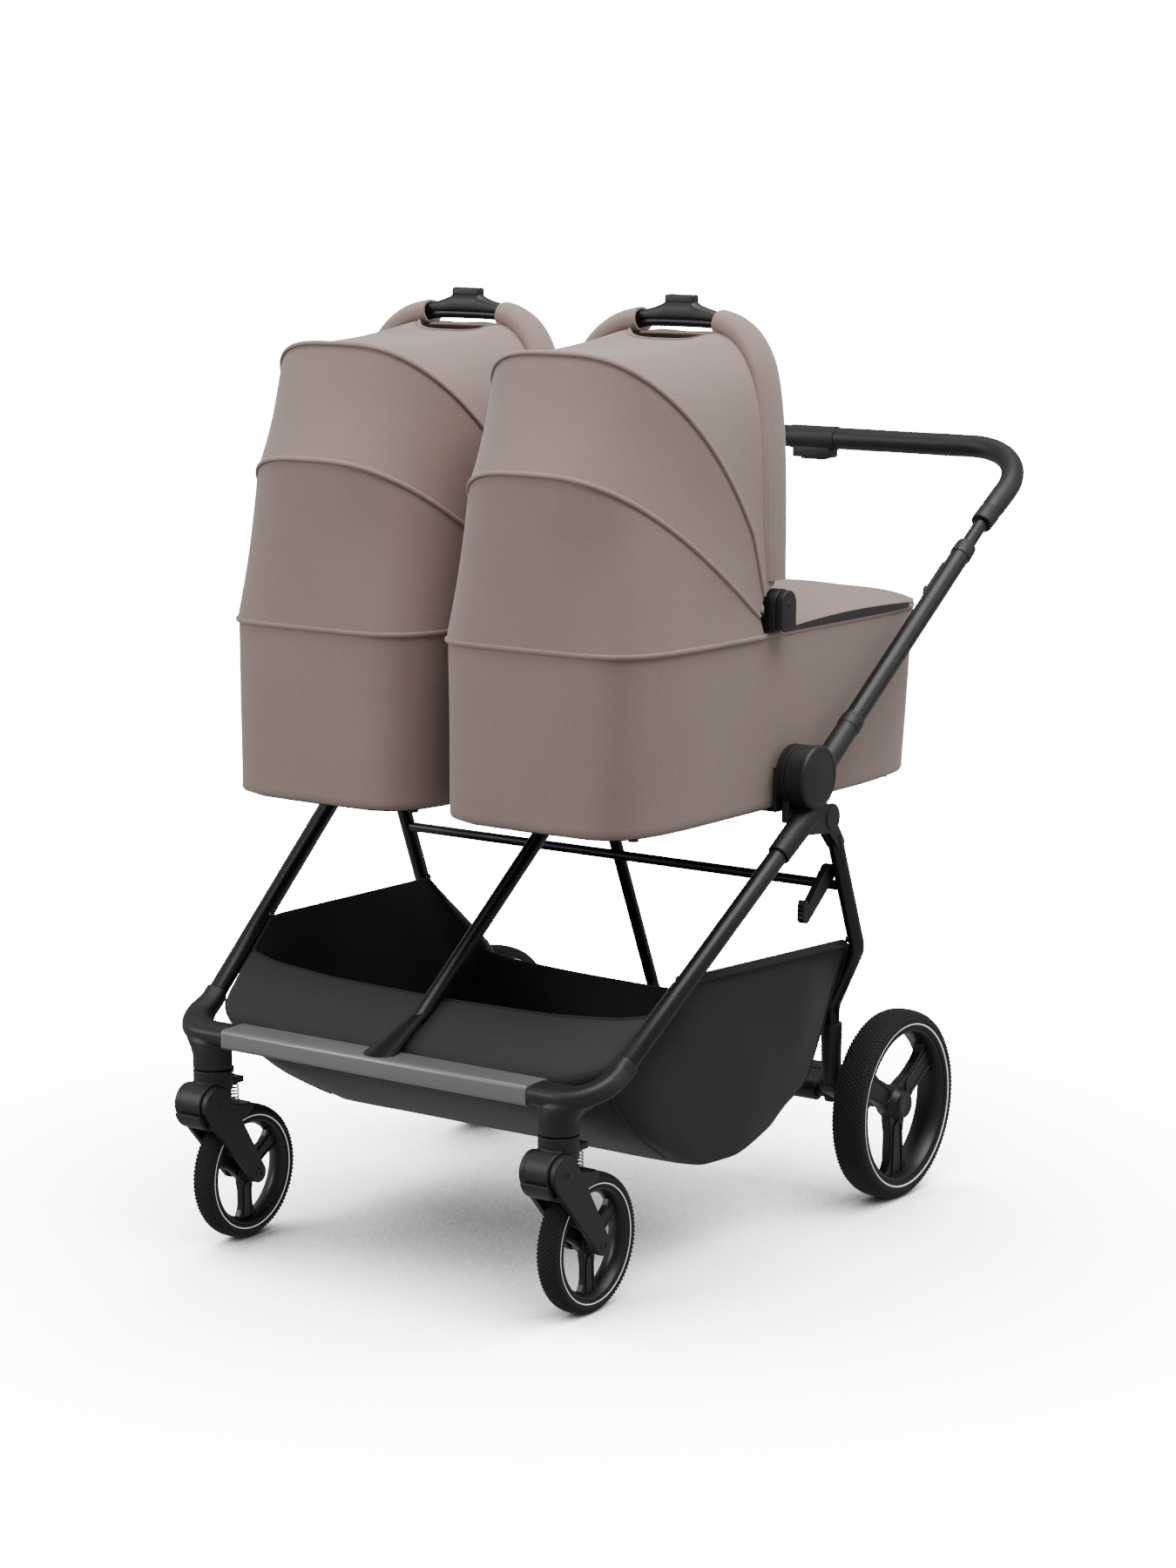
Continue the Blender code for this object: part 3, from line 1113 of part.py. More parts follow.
def carry_grip(extra):
    """The grip at the top of the hoop and the bed of its button."""
    centre = hood_point(0.0, GRIP_REACH, HOOP_ANGLE)
    grip = box((COT_X - GRIP_HALF - extra, centre.y - 0.0125 - extra, centre.z - 0.014 - extra),
               (COT_X + GRIP_HALF + extra, centre.y + 0.0125 + extra, centre.z + 0.012 + extra), 0.004)
    button_bed = box((COT_X - 0.024, centre.y - 0.0085, centre.z + 0.004),
                     (COT_X + 0.024, centre.y + 0.0085, centre.z + 0.03))
    return grip, button_bed


def build_grip_button():
    centre = hood_point(0.0, GRIP_REACH, HOOP_ANGLE)
    return box((COT_X - 0.0234, centre.y - 0.0079, centre.z + 0.009),
               (COT_X + 0.0234, centre.y + 0.0079, centre.z + 0.021), 0.0025)


def build_apron():
    """The soft cover over the foot half of the tub, drawn over the rim and gently crowned."""
    count = 10
    front = HOOD_HINGE_Y + 0.030
    rows = []
    for row in range(6):
        share = row / 5
        line = []
        for step in range(count + 1):
            across = -1.0 + 2.0 * step / count
            y_along = front + (COT_REAR_Y - 0.012 - front) * share
            centre_y = (COT_FRONT_Y + COT_REAR_Y) / 2
            reach = min(0.985, max(0.0, (y_along - centre_y) / ((COT_REAR_Y - COT_FRONT_Y) / 2)))
            half = (COT_RIM_HALF - 0.001) * (1.0 - reach ** COT_SQUARENESS) ** (1 / COT_SQUARENESS)
            crown = 0.030 * (1 - across ** 4) * (1.0 - 0.35 * share) * (1 - max(0.0, share - 0.8) * 2.5)
            line.append(Vector((COT_X + half * across, y_along, COT_RIM_Z + APRON_T + CLEAR + crown)))
        rows.append(line)
    bm = bmesh.new()
    top = [[bm.verts.new(point) for point in line] for line in rows]
    low = [[bm.verts.new(point - Vector((0.0, 0.0, APRON_T))) for point in line] for line in rows]
    last = len(rows) - 1
    for sheet in (top, low):
        for row in range(last):
            near = sheet[row]
            far = sheet[row + 1]
            for step in range(count):
                bm.faces.new((near[step], near[step + 1], far[step + 1], far[step]))
    for step in range(count):
        bm.faces.new((top[0][step], top[0][step + 1], low[0][step + 1], low[0][step]))
        bm.faces.new((top[last][step], top[last][step + 1], low[last][step + 1], low[last][step]))
    for row in range(last):
        bm.faces.new((top[row][0], top[row + 1][0], low[row + 1][0], low[row][0]))
        bm.faces.new((top[row][count], top[row + 1][count], low[row + 1][count], low[row][count]))
    return from_bmesh("apron", bm)


def build_cots():
    hinge = COT_LEVEL @ Vector((COT_X, HOOD_HINGE_Y, HOOD_HINGE_Z))
    grip = COT_LEVEL @ hood_point(0.0, GRIP_REACH, HOOP_ANGLE)
    rest = COT_LEVEL @ Vector((COT_X, HUB_Y, COT_LOW_Z))
    beside_rib = RIB_R + BESIDE_RIB
    tub_edge = rim_arch(COT_RIM_HALF - 0.001, COT_RIM_Z + 0.0009)
    rear_edge = arch("rear_edge", HOOD_HALF, REAR_EDGE_BEHIND)
    front_panel = panel(tub_edge, arch("front", HOOD_HALF, -beside_rib))
    middle_panel = panel(arch("front", HOOD_HALF, beside_rib), arch("middle", HOOD_HALF, -beside_rib))
    rear_panel = panel(arch("middle", HOOD_HALF, beside_rib), rear_edge)
    rear_panel = cut(rear_panel, carry_grip(0.002)[0])
    pieces = (
        ("cot_tub", build_tub(), "cot_fabric", rest),
        ("cot_base", build_base(), "plastic", rest),
        ("cot_apron", build_apron(), "cot_fabric", rest),
        ("hood_front_panel", front_panel, "cot_fabric", hinge),
        ("hood_front_rib", rib("front", FRONT_EYE_DEPTH), "plastic", hinge),
        ("hood_middle_panel", middle_panel, "cot_fabric", hinge),
        ("hood_middle_rib", rib("middle", MIDDLE_EYE_DEPTH), "plastic", hinge),
        ("hood_rear_panel", rear_panel, "cot_fabric", hinge),
        ("carry_hoop", build_hoop(), "plastic", hinge),
        ("grip_button", build_grip_button(), "plastic", grip),
    )
    for name, shape, material, origin in pieces:
        shape.data.transform(COT_LEVEL)
        finish(mirrored(shape), name + "_left", material, (-origin.x, origin.y, origin.z))
        finish(shape, name + "_right", material, origin)


build_front_bar()
build_corners()
build_front_legs()
build_side_hubs()
build_middle_hub()
build_rear_legs()
build_cross_tube()
build_rear_axle()
build_brake_pedal()
build_fold_latch()
build_rear_wheels()
build_castor(-1.0, "left")
build_castor(1.0, "right")
build_arms()
build_levers()
build_handle()
build_basket()
build_cots()
bpy.data.collections.remove(WORK)
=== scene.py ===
"""Looks of a side-by-side twin pushchair with two carrycots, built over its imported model."""

import math

import bmesh
import bpy
from mathutils import Matrix, Vector, noise


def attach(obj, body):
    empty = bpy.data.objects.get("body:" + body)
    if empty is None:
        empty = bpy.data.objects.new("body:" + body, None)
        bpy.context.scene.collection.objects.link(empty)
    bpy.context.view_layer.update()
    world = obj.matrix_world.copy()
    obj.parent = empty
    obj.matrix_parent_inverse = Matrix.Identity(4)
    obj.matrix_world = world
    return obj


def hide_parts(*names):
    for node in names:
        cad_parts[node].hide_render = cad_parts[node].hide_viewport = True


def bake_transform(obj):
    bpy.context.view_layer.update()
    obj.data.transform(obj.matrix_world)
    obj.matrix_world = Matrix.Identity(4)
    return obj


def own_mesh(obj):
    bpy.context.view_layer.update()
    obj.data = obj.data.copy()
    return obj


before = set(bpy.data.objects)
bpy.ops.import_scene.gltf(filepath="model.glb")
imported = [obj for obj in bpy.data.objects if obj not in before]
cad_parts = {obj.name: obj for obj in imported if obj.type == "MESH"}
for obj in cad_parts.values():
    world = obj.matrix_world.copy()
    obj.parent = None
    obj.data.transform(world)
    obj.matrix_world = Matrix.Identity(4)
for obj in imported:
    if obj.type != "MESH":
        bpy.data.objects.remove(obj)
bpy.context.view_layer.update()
AXLE_Y = 0.2033


# Front bar
# The bar is a flattened aluminium extrusion, cut square and anodised a satin grey. It is drawn
# with soft rounded edges, and its ends butt against the black corner mouldings.
def linear(hex_colour):
    """An sRGB hex colour as linear values."""
    values = [int(hex_colour[place:place + 2], 16) / 255 for place in (1, 3, 5)]
    return tuple(v / 12.92 if v <= 0.04045 else ((v + 0.055) / 1.055) ** 2.4 for v in values) + (1.0,)


def add_node(tree, kind, inputs=None, **settings):
    """A node with its settings, each input given a value or linked to another node's output."""
    made = tree.nodes.new(kind)
    for key, value in settings.items():
        setattr(made, key, value)
    for key, value in (inputs or {}).items():
        if isinstance(value, bpy.types.NodeSocket):
            tree.links.new(value, made.inputs[key])
        else:
            made.inputs[key].default_value = value
    return made


def grained_finish(name, light, dark, roughness, grain_mm, depth_mm, metallic=0.0, stretch=(1.0, 1.0, 1.0)):
    """A finish with a fine grain in its surface, and soft changes of tone and gloss across it."""
    material = bpy.data.materials.new(name)
    material.use_nodes = True
    tree = material.node_tree
    shader = tree.nodes["Principled BSDF"]
    shader.inputs["Metallic"].default_value = metallic
    coords = add_node(tree, "ShaderNodeTexCoord").outputs["Object"]
    place = add_node(tree, "ShaderNodeMapping", {"Vector": coords, "Scale": stretch}).outputs["Vector"]
    patches = add_node(tree, "ShaderNodeTexNoise", {"Vector": place, "Scale": 14.0, "Detail": 4.0})
    tone = add_node(tree, "ShaderNodeMixRGB", {
        "Fac": patches.outputs["Fac"], "Color1": linear(dark), "Color2": linear(light)})
    tree.links.new(tone.outputs["Color"], shader.inputs["Base Color"])
    gloss = add_node(tree, "ShaderNodeMapRange", {
        "Value": patches.outputs["Fac"], "To Min": roughness - 0.05, "To Max": roughness + 0.06})
    tree.links.new(gloss.outputs["Result"], shader.inputs["Roughness"])
    grain = add_node(tree, "ShaderNodeTexNoise", {
        "Vector": place, "Scale": 1000.0 / grain_mm, "Detail": 2.0, "Roughness": 0.6})
    bump = add_node(tree, "ShaderNodeBump", {
        "Height": grain.outputs["Fac"], "Strength": 0.35, "Distance": depth_mm / 1000.0})
    tree.links.new(bump.outputs["Normal"], shader.inputs["Normal"])
    return material


def finished(name, bm, material, sharp=38.0):
    """A mesh object of that name, smooth but for its sharp edges."""
    mesh = bpy.data.meshes.new(name)
    bm.to_mesh(mesh)
    bm.free()
    mesh.materials.append(material)
    mesh.shade_smooth()
    mesh.set_sharp_from_angle(angle=math.radians(sharp))
    piece = bpy.data.objects.new(name, mesh)
    bpy.context.scene.collection.objects.link(piece)
    return piece


def made_real(piece, sharp=38.0):
    """The piece with its modifiers turned into plain mesh."""
    graph = bpy.context.evaluated_depsgraph_get()
    mesh = bpy.data.meshes.new_from_object(piece.evaluated_get(graph))
    piece.modifiers.clear()
    piece.data = mesh
    mesh.shade_smooth()
    mesh.set_sharp_from_angle(angle=math.radians(sharp))
    return piece


def eased(piece, width, segments=3):
    """Rounds every crease of the piece, as a mould or a tumbled edge does."""
    bevel = piece.modifiers.new("ease", "BEVEL")
    bevel.width = width
    bevel.segments = segments
    bevel.limit_method = "ANGLE"
    bevel.angle_limit = math.radians(30.0)
    return made_real(piece)


def fit(piece, body, slot, *nodes):
    """The piece moves with its body and stands for its CAD nodes."""
    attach(piece, body)
    if nodes:
        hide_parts(*nodes)
    return piece


def outward(bm):
    """Turns every face of the mesh to the outside."""
    bmesh.ops.recalc_face_normals(bm, faces=bm.faces)


def circle(steps):
    """The cosine and sine of even steps round a circle."""
    turns = [2 * math.pi * step / steps for step in range(steps)]
    return [(math.cos(turn), math.sin(turn)) for turn in turns]


def join_rows(bm, rows, caps=False):
    """Faces between rings of points, from each ring to the next, and over the two ends."""
    for near, far in zip(rows, rows[1:]):
        for step in range(len(near)):
            after = (step + 1) % len(near)
            bm.faces.new((near[step], near[after], far[after], far[step]))
    if caps:
        bm.faces.new(rows[0][::-1])
        bm.faces.new(rows[-1])


def join_lines(bm, lines):
    """Faces between open lines of points, from each line to the next."""
    for near, far in zip(lines, lines[1:]):
        for step in range(len(near) - 1):
            bm.faces.new((near[step], near[step + 1], far[step + 1], far[step]))


def add_block(bm, low, high):
    """A box between two corners."""
    low = Vector(low)
    high = Vector(high)
    made = bmesh.ops.create_cube(bm, size=1.0)["verts"]
    bmesh.ops.scale(bm, vec=high - low, verts=made)
    bmesh.ops.translate(bm, vec=(low + high) / 2, verts=made)


# Satin anodising scatters light evenly, with faint drawing lines along the bar.
ANODISED_GREY = grained_finish("anodised_aluminium", "#8b8c8d", "#7b7c7d", 0.40, 1.6, 0.05, 0.55,
                               (0.05, 1.0, 1.0))
BAR_HALF = 0.252
BAR_FRONT_Y = AXLE_Y - 0.746
BAR_LOW_Z = 0.286
BAR_TOP_Z = 0.313
BAR_DEPTH = 0.050

bm = bmesh.new()
add_block(bm, (-BAR_HALF, BAR_FRONT_Y, BAR_LOW_Z), (BAR_HALF, BAR_FRONT_Y + BAR_DEPTH, BAR_TOP_Z))
lengthways = [edge for edge in bm.edges if abs(edge.verts[0].co.x - edge.verts[1].co.x) > 0.1]
bmesh.ops.bevel(bm, geom=lengthways, offset=0.0058, segments=6, profile=0.5, affect="EDGES")
bar = eased(finished("front_bar_extrusion", bm, ANODISED_GREY), 0.0004, 2)
fit(bar, "chassis", "front_trim", "front_bar")


# Corner mouldings
# Each corner is one glass-filled nylon moulding that takes the bar's end, sweeps up to the leg
# and drops into the castor's boss. A bead of shadow shows where it meets the bar and the leg.
def bent_route(corners, bend, steps=10):
    """The corners of a route, each inner one rounded to the bend's radius."""
    corners = [Vector(corner) for corner in corners]
    route = [corners[0]]
    for before, corner, after in zip(corners, corners[1:], corners[2:]):
        into = (corner - before).normalized()
        out = (after - corner).normalized()
        turn = into.angle(out)
        centre = corner + (out - into).normalized() * bend / math.cos(turn / 2)
        first = corner - into * bend * math.tan(turn / 2) - centre
        axis = into.cross(out).normalized()
        count = max(3, round(steps * turn / math.radians(60)))
        for step in range(count + 1):
            route.append(centre + Matrix.Rotation(turn * step / count, 3, axis) @ first)
    route.append(corners[-1])
    return route


def squircle(angle, power):
    """A point on the unit superellipse, squarer for a higher power."""
    cosine = math.cos(angle)
    sine = math.sin(angle)
    return (math.copysign(abs(cosine) ** (2 / power), cosine), math.copysign(abs(sine) ** (2 / power), sine))


def add_swept(bm, route, radii, sides=32, power=2.0, up=(0.0, 0.0, 1.0), closed=False):
    """A tube along a route. Radii are one number, or one number or (across, upright) pair a point."""
    route = [Vector(point) for point in route]
    if isinstance(radii, float):
        radii = [radii] * len(route)
    rows = []
    across = None
    last = len(route) - 1
    for index, point in enumerate(route):
        if closed:
            way = (route[(index + 1) % len(route)] - route[index - 1]).normalized()
        else:
            way = (route[min(index + 1, last)] - route[max(index - 1, 0)]).normalized()
        if across is None:
            across = Vector(up).cross(way)
        across = (across - way * across.dot(way)).normalized()
        upright = way.cross(across)
        wide, high = radii[index] if isinstance(radii[index], tuple) else (radii[index], radii[index])
        row = []
        for side in range(sides):
            out, rise = squircle(2 * math.pi * side / sides, power)
            row.append(bm.verts.new(point + across * (out * wide) + upright * (rise * high)))
        rows.append(row)
    if closed:
        rows.append(rows[0])
    join_rows(bm, rows, caps=not closed)


def add_rod(bm, start, end, radius, sides=40, end_radius=None):
    """A straight bar, tapered where its end has a radius of its own."""
    lies_across = abs((Vector(end) - Vector(start)).normalized().x) >= 0.9
    up = (0.0, 0.0, 1.0) if lies_across else (1.0, 0.0, 0.0)
    add_swept(bm, (start, end), [radius, end_radius or radius], sides, up=up)


def moulded(name, bm, material, voxel_mm=1.2, passes=4):
    """One casting or moulding from overlapping solids, with a small fillet wherever they meet."""
    piece = finished(name, bm, material)
    merge = piece.modifiers.new("merge", "REMESH")
    merge.mode = "VOXEL"
    merge.voxel_size = voxel_mm / 1000.0
    ease = piece.modifiers.new("ease", "SMOOTH")
    ease.factor = 0.5
    ease.iterations = passes
    return made_real(piece, 60.0)


def to_side(bm, side):
    """Mirrors a right-hand piece where the left one is built."""
    bmesh.ops.transform(bm, matrix=Matrix.Diagonal((side, 1.0, 1.0, 1.0)), verts=bm.verts)
    outward(bm)


# A mould's fine spark-eroded texture makes the black nylon matt; its grain is drawn about twice
# its real 0.3 mm so that it shows.
NYLON = grained_finish("moulded_nylon", "#17181a", "#101112", 0.50, 0.7, 0.10)
LEG_SEAM = Vector((0.341, AXLE_Y - 0.648, 0.334))
LEG_TOP = Vector((0.3752, AXLE_Y - 0.344, 0.555))
LEG_WAY = (LEG_TOP - LEG_SEAM).normalized()
CASTOR_X = 0.287
BOSS_Y = AXLE_Y - 0.723
BOSS_R = 0.0267
SWIVEL_Z = 0.252

SIDES = ((-1.0, "left"), (1.0, "right"))

for side, suffix in SIDES:
    bm = bmesh.new()
    middle_y = BAR_FRONT_Y + BAR_DEPTH / 2
    middle_z = (BAR_LOW_Z + BAR_TOP_Z) / 2
    turn = LEG_SEAM - LEG_WAY * 0.098
    route = bent_route(((BAR_HALF + 0.0006, middle_y, middle_z), (turn.x + 0.004, middle_y, middle_z),
                        LEG_SEAM - LEG_WAY * 0.020, LEG_SEAM - LEG_WAY * 0.0004), 0.045, 8)
    total = len(route) - 1
    girth = []
    for index in range(total + 1):
        share = min(1.0, index / (total - 1))
        share = share * share * (3 - 2 * share)
        girth.append((0.0250 + (0.0150 - 0.0250) * share, 0.0135 + (0.0150 - 0.0135) * share))
    add_swept(bm, route, girth, 40, 2.9)
    rings = ((SWIVEL_Z + 0.0004, BOSS_R, BOSS_R, 0.0, 0.0), (0.270, BOSS_R, BOSS_R, 0.0, 0.0),
             (0.280, 0.0290, 0.0275, 0.002, 0.001), (0.290, 0.0345, 0.0285, 0.005, 0.003),
             (0.300, 0.0380, 0.0270, 0.008, 0.006), (0.306, 0.0330, 0.0240, 0.009, 0.008))
    rows = []
    for z, wide, deep, shift_x, shift_y in rings:
        rows.append([bm.verts.new((CASTOR_X + shift_x + wide * cosine, BOSS_Y + shift_y + deep * sine, z))
                     for cosine, sine in circle(40)])
    join_rows(bm, rows, caps=True)
    gusset = bent_route(((CASTOR_X + 0.010, BOSS_Y + 0.006, 0.284), (CASTOR_X + 0.034, BOSS_Y + 0.020, 0.300),
                         LEG_SEAM - LEG_WAY * 0.022 - Vector((0.0, 0.0, 0.004))), 0.03, 8)
    add_swept(bm, gusset, [0.0150 - 0.0035 * index / (len(gusset) - 1) for index in range(len(gusset))], 24)
    to_side(bm, side)
    corner = moulded("corner_moulding_" + suffix, bm, NYLON, 1.1, 5)
    fit(corner, "chassis", "plastic", "corner_" + suffix)


# Front legs
# Three aluminium tubes, powder coated satin black, run straight from the bar to the hubs. The
# middle one stands on the bar in a flared foot that is welded and ground smooth.
def bare_tube_points(x_share, z):
    """A point on the line of a front leg; a share of 0 is the middle leg."""
    point = LEG_SEAM.lerp(LEG_TOP, (z - LEG_SEAM.z) / (LEG_TOP.z - LEG_SEAM.z))
    return Vector((point.x * x_share, point.y, point.z))


# Powder coat has a shallow orange peel, about 2 mm from crest to crest.
POWDER_COAT = grained_finish("powder_coated_tube", "#18191b", "#121314", 0.36, 2.0, 0.06, 0.25)
for side, suffix in SIDES:
    bm = bmesh.new()
    low = LEG_SEAM + LEG_WAY * 0.0004
    high = LEG_TOP + LEG_WAY * 0.029
    add_rod(bm, (low.x * side, low.y, low.z), (high.x * side, high.y, high.z), 0.0130, 48)
    leg = eased(finished("front_leg_tube_" + suffix, bm, POWDER_COAT), 0.0006, 2)
    fit(leg, "chassis", "frame_tube", "front_leg_" + suffix)

bm = bmesh.new()
foot = []
for step in range(13):
    share = step / 12
    z = 0.3134 + (0.3560 - 0.3134) * share
    axis_y = (BAR_FRONT_Y + 0.026) * (1 - share) + bare_tube_points(0.0, 0.356).y * share
    flare = (1 - share) ** 1.7
    foot.append((axis_y, z, 0.0112 + 0.0128 * flare, 0.0112 + 0.0098 * flare))
rows = []
for axis_y, z, wide, deep in foot:
    rows.append([bm.verts.new((wide * cosine, axis_y + deep * sine, z)) for cosine, sine in circle(40)])
join_rows(bm, rows, caps=True)
add_rod(bm, bare_tube_points(0.0, 0.340), bare_tube_points(0.0, LEG_TOP.z + 0.015), 0.0110, 40)
outward(bm)
middle_leg = finished("front_leg_tube_middle", bm, POWDER_COAT)
fit(middle_leg, "chassis", "frame_tube", "front_leg_middle")


# Hubs and their castings
# A drum on each side carries the handle's hinge. Below it one casting takes the front leg in a
# stepped socket and forks round the rear leg's eye, under a small plain pivot cap.
def add_turned(bm, profile, centre, steps=64):
    """A profile of (radius, offset) points turned about an axis across the pushchair."""
    x, y, z = centre
    rows = []
    for radius, offset in profile:
        rows.append([bm.verts.new((x + offset, y + radius * cosine, z + radius * sine))
                     for cosine, sine in circle(steps)])
    join_rows(bm, rows + rows[:1])
    bmesh.ops.remove_doubles(bm, verts=[vert for row in rows for vert in row], dist=0.000004)


def capsule(first, first_r, second, second_r, steps=14):
    """Two circles and their common tangents, as (y, z) points."""
    first = Vector(first)
    second = Vector(second)
    along = second - first
    heading = math.atan2(along.y, along.x)
    lean = math.acos((first_r - second_r) / along.length)
    points = []
    for step in range(steps + 1):
        angle = heading + lean + (2 * math.pi - 2 * lean) * step / steps
        points.append((first.x + first_r * math.cos(angle), first.y + first_r * math.sin(angle)))
    for step in range(steps + 1):
        angle = heading - lean + 2 * lean * step / steps
        points.append((second.x + second_r * math.cos(angle), second.y + second_r * math.sin(angle)))
    return points


def add_plate(bm, outline, low, high):
    """A flat outline of (y, z) points made as thick as its span across the pushchair."""
    near = [bm.verts.new((low, y, z)) for y, z in outline]
    far = [bm.verts.new((high, y, z)) for y, z in outline]
    bm.faces.new(near[::-1])
    bm.faces.new(far)
    for index in range(len(outline)):
        after = (index + 1) % len(outline)
        bm.faces.new((near[index], near[after], far[after], far[index]))


HUB_Y = AXLE_Y - 0.278
HUB_Z = 0.652
HUB_R = 0.0415
PIVOT = (AXLE_Y - 0.230, 0.588)

for side, suffix in SIDES:
    bm = bmesh.new()
    socket_end = LEG_TOP + LEG_WAY * 0.078
    add_rod(bm, LEG_TOP + LEG_WAY * 0.0005, socket_end, 0.0160, 40, 0.0172)
    for low, high in ((-0.0145, -0.0098), (0.0098, 0.0145)):
        add_plate(bm, capsule((socket_end.y - 0.004, socket_end.z - 0.010), 0.0165, PIVOT, 0.0205),
                  LEG_TOP.x + low, LEG_TOP.x + high)
    web = capsule((socket_end.y - 0.006, socket_end.z - 0.004), 0.0150,
                  (PIVOT[0] - 0.012, PIVOT[1] + 0.014), 0.0085)
    add_plate(bm, web, LEG_TOP.x - 0.0140, LEG_TOP.x + 0.0140)
    add_block(bm, (0.3545, HUB_Y - 0.026, HUB_Z - HUB_R - 0.020), (0.3660, HUB_Y + 0.030, HUB_Z - 0.020))
    to_side(bm, side)
    casting = moulded("hub_casting_" + suffix, bm, NYLON, 1.0, 4)
    fit(casting, "chassis", "plastic", "hub_" + suffix)

    bm = bmesh.new()
    grooves = [(0.0, 0.3528), (HUB_R - 0.0030, 0.3528), (HUB_R - 0.0004, 0.3538), (HUB_R, 0.3552)]
    for groove in (0.3584, 0.3622):
        grooves += [(HUB_R, groove - 0.0006), (HUB_R - 0.0012, groove - 0.0003),
                    (HUB_R - 0.0012, groove + 0.0003), (HUB_R, groove + 0.0006)]
    grooves += [(HUB_R, 0.3658), (HUB_R - 0.0010, 0.3665), (0.0, 0.3665)]
    add_turned(bm, grooves, (0.0, HUB_Y, HUB_Z), 96)
    add_turned(bm, [(0.0, 0.3885), (0.0162, 0.3885), (0.0162, 0.3905), (0.0150, 0.3914), (0.0, 0.3917)],
               (0.0, PIVOT[0], PIVOT[1]), 64)
    to_side(bm, side)
    drum = finished("hub_drum_" + suffix, bm, NYLON, 30.0)
    fit(drum, "chassis", "plastic")

bm = bmesh.new()
middle_way = (bare_tube_points(0.0, 0.66) - bare_tube_points(0.0, 0.56)).normalized()
middle_end = bare_tube_points(0.0, LEG_TOP.z) + middle_way * 0.078
add_rod(bm, bare_tube_points(0.0, LEG_TOP.z) + Vector((0.0, 0.0, 0.0004)), middle_end, 0.0140, 32)
add_plate(bm, capsule((middle_end.y - 0.004, middle_end.z - 0.008), 0.0140, PIVOT, 0.0142), -0.0105, 0.0105)
add_block(bm, (-0.060, HUB_Y - 0.024, 0.5955), (0.060, HUB_Y + 0.028, 0.6030))
bmesh.ops.bisect_plane(bm, geom=bm.verts[:] + bm.edges[:] + bm.faces[:], plane_co=(0.0, 0.0, 0.6031),
                       plane_no=(0.0, 0.0, 1.0), clear_outer=True)
bmesh.ops.holes_fill(bm, edges=[edge for edge in bm.edges if edge.is_boundary])
outward(bm)
saddle = moulded("hub_saddle_middle", bm, NYLON, 1.2, 2)
fit(saddle, "chassis", "plastic", "hub_middle")


# Rear frame
# Two cranked tubes and a straight middle one hang from the hubs' eyes and end in sockets on the
# axle. A thin cross tube ties them, and all are powder coated like the front legs.
REAR_LEG_X = 0.3746
BEND = (AXLE_Y - 0.137, 0.390)
SOCKET = Vector((0.300, AXLE_Y - 0.080, 0.262))


def rear_leg_y(z):
    """How far back the upper part of a rear leg is at that height."""
    return BEND[0] - 0.059 / 0.155 * (z - BEND[1])


for side, suffix in SIDES:
    bm = bmesh.new()
    route = bent_route(((side * REAR_LEG_X, rear_leg_y(0.558), 0.558), (side * REAR_LEG_X, *BEND),
                        (side * SOCKET.x, SOCKET.y, SOCKET.z + 0.024),
                        (side * SOCKET.x, SOCKET.y, SOCKET.z - 0.018)), 0.042, 12)
    add_swept(bm, route, 0.0110, 40, up=(1.0, 0.0, 0.0))
    add_plate(bm, capsule(PIVOT, 0.0122, (rear_leg_y(0.548), 0.548), 0.0090),
              side * REAR_LEG_X - 0.0090, side * REAR_LEG_X + 0.0090)
    outward(bm)
    leg = finished("rear_leg_tube_" + suffix, bm, POWDER_COAT)
    fit(leg, "rear_frame", "frame_tube", "rear_leg_" + suffix)

MIDDLE_TOP = Vector((0.0, rear_leg_y(0.5638), 0.5638))
MIDDLE_LOW = Vector((0.0, AXLE_Y - 0.032, 0.154))
bm = bmesh.new()
add_rod(bm, MIDDLE_LOW, MIDDLE_TOP, 0.0090, 32)
add_plate(bm, capsule(PIVOT, 0.0093, (MIDDLE_TOP.y + 0.004, MIDDLE_TOP.z - 0.010), 0.0065), -0.0063, 0.0063)
outward(bm)
leg = finished("rear_leg_tube_middle", bm, POWDER_COAT)
fit(leg, "rear_frame", "frame_tube", "rear_leg_middle")

bm = bmesh.new()
cross_y = rear_leg_y(0.484) - 0.004
add_rod(bm, (-REAR_LEG_X + 0.0098, cross_y, 0.484), (REAR_LEG_X - 0.0098, cross_y, 0.484), 0.0070, 32)
tube = finished("cross_tube_round", bm, POWDER_COAT)
fit(tube, "rear_frame", "frame_tube", "cross_tube")


# Rear axle
# A thin steel tube joins two moulded brackets, each with a tapered socket for a leg and an arm
# that carries the wheel's stub behind it. The middle leg stands in a short welded socket.
AXLE_Z = 0.135
bm = bmesh.new()
add_rod(bm, (-SOCKET.x, AXLE_Y, AXLE_Z), (SOCKET.x, AXLE_Y, AXLE_Z), 0.0085, 32)
way = (MIDDLE_TOP - MIDDLE_LOW).normalized()
add_rod(bm, (0.0, AXLE_Y, AXLE_Z), MIDDLE_LOW + way * 0.026, 0.0125, 32)
outward(bm)
axle = finished("axle_tube", bm, POWDER_COAT)
fit(axle, "rear_frame", "frame_tube", "rear_axle")

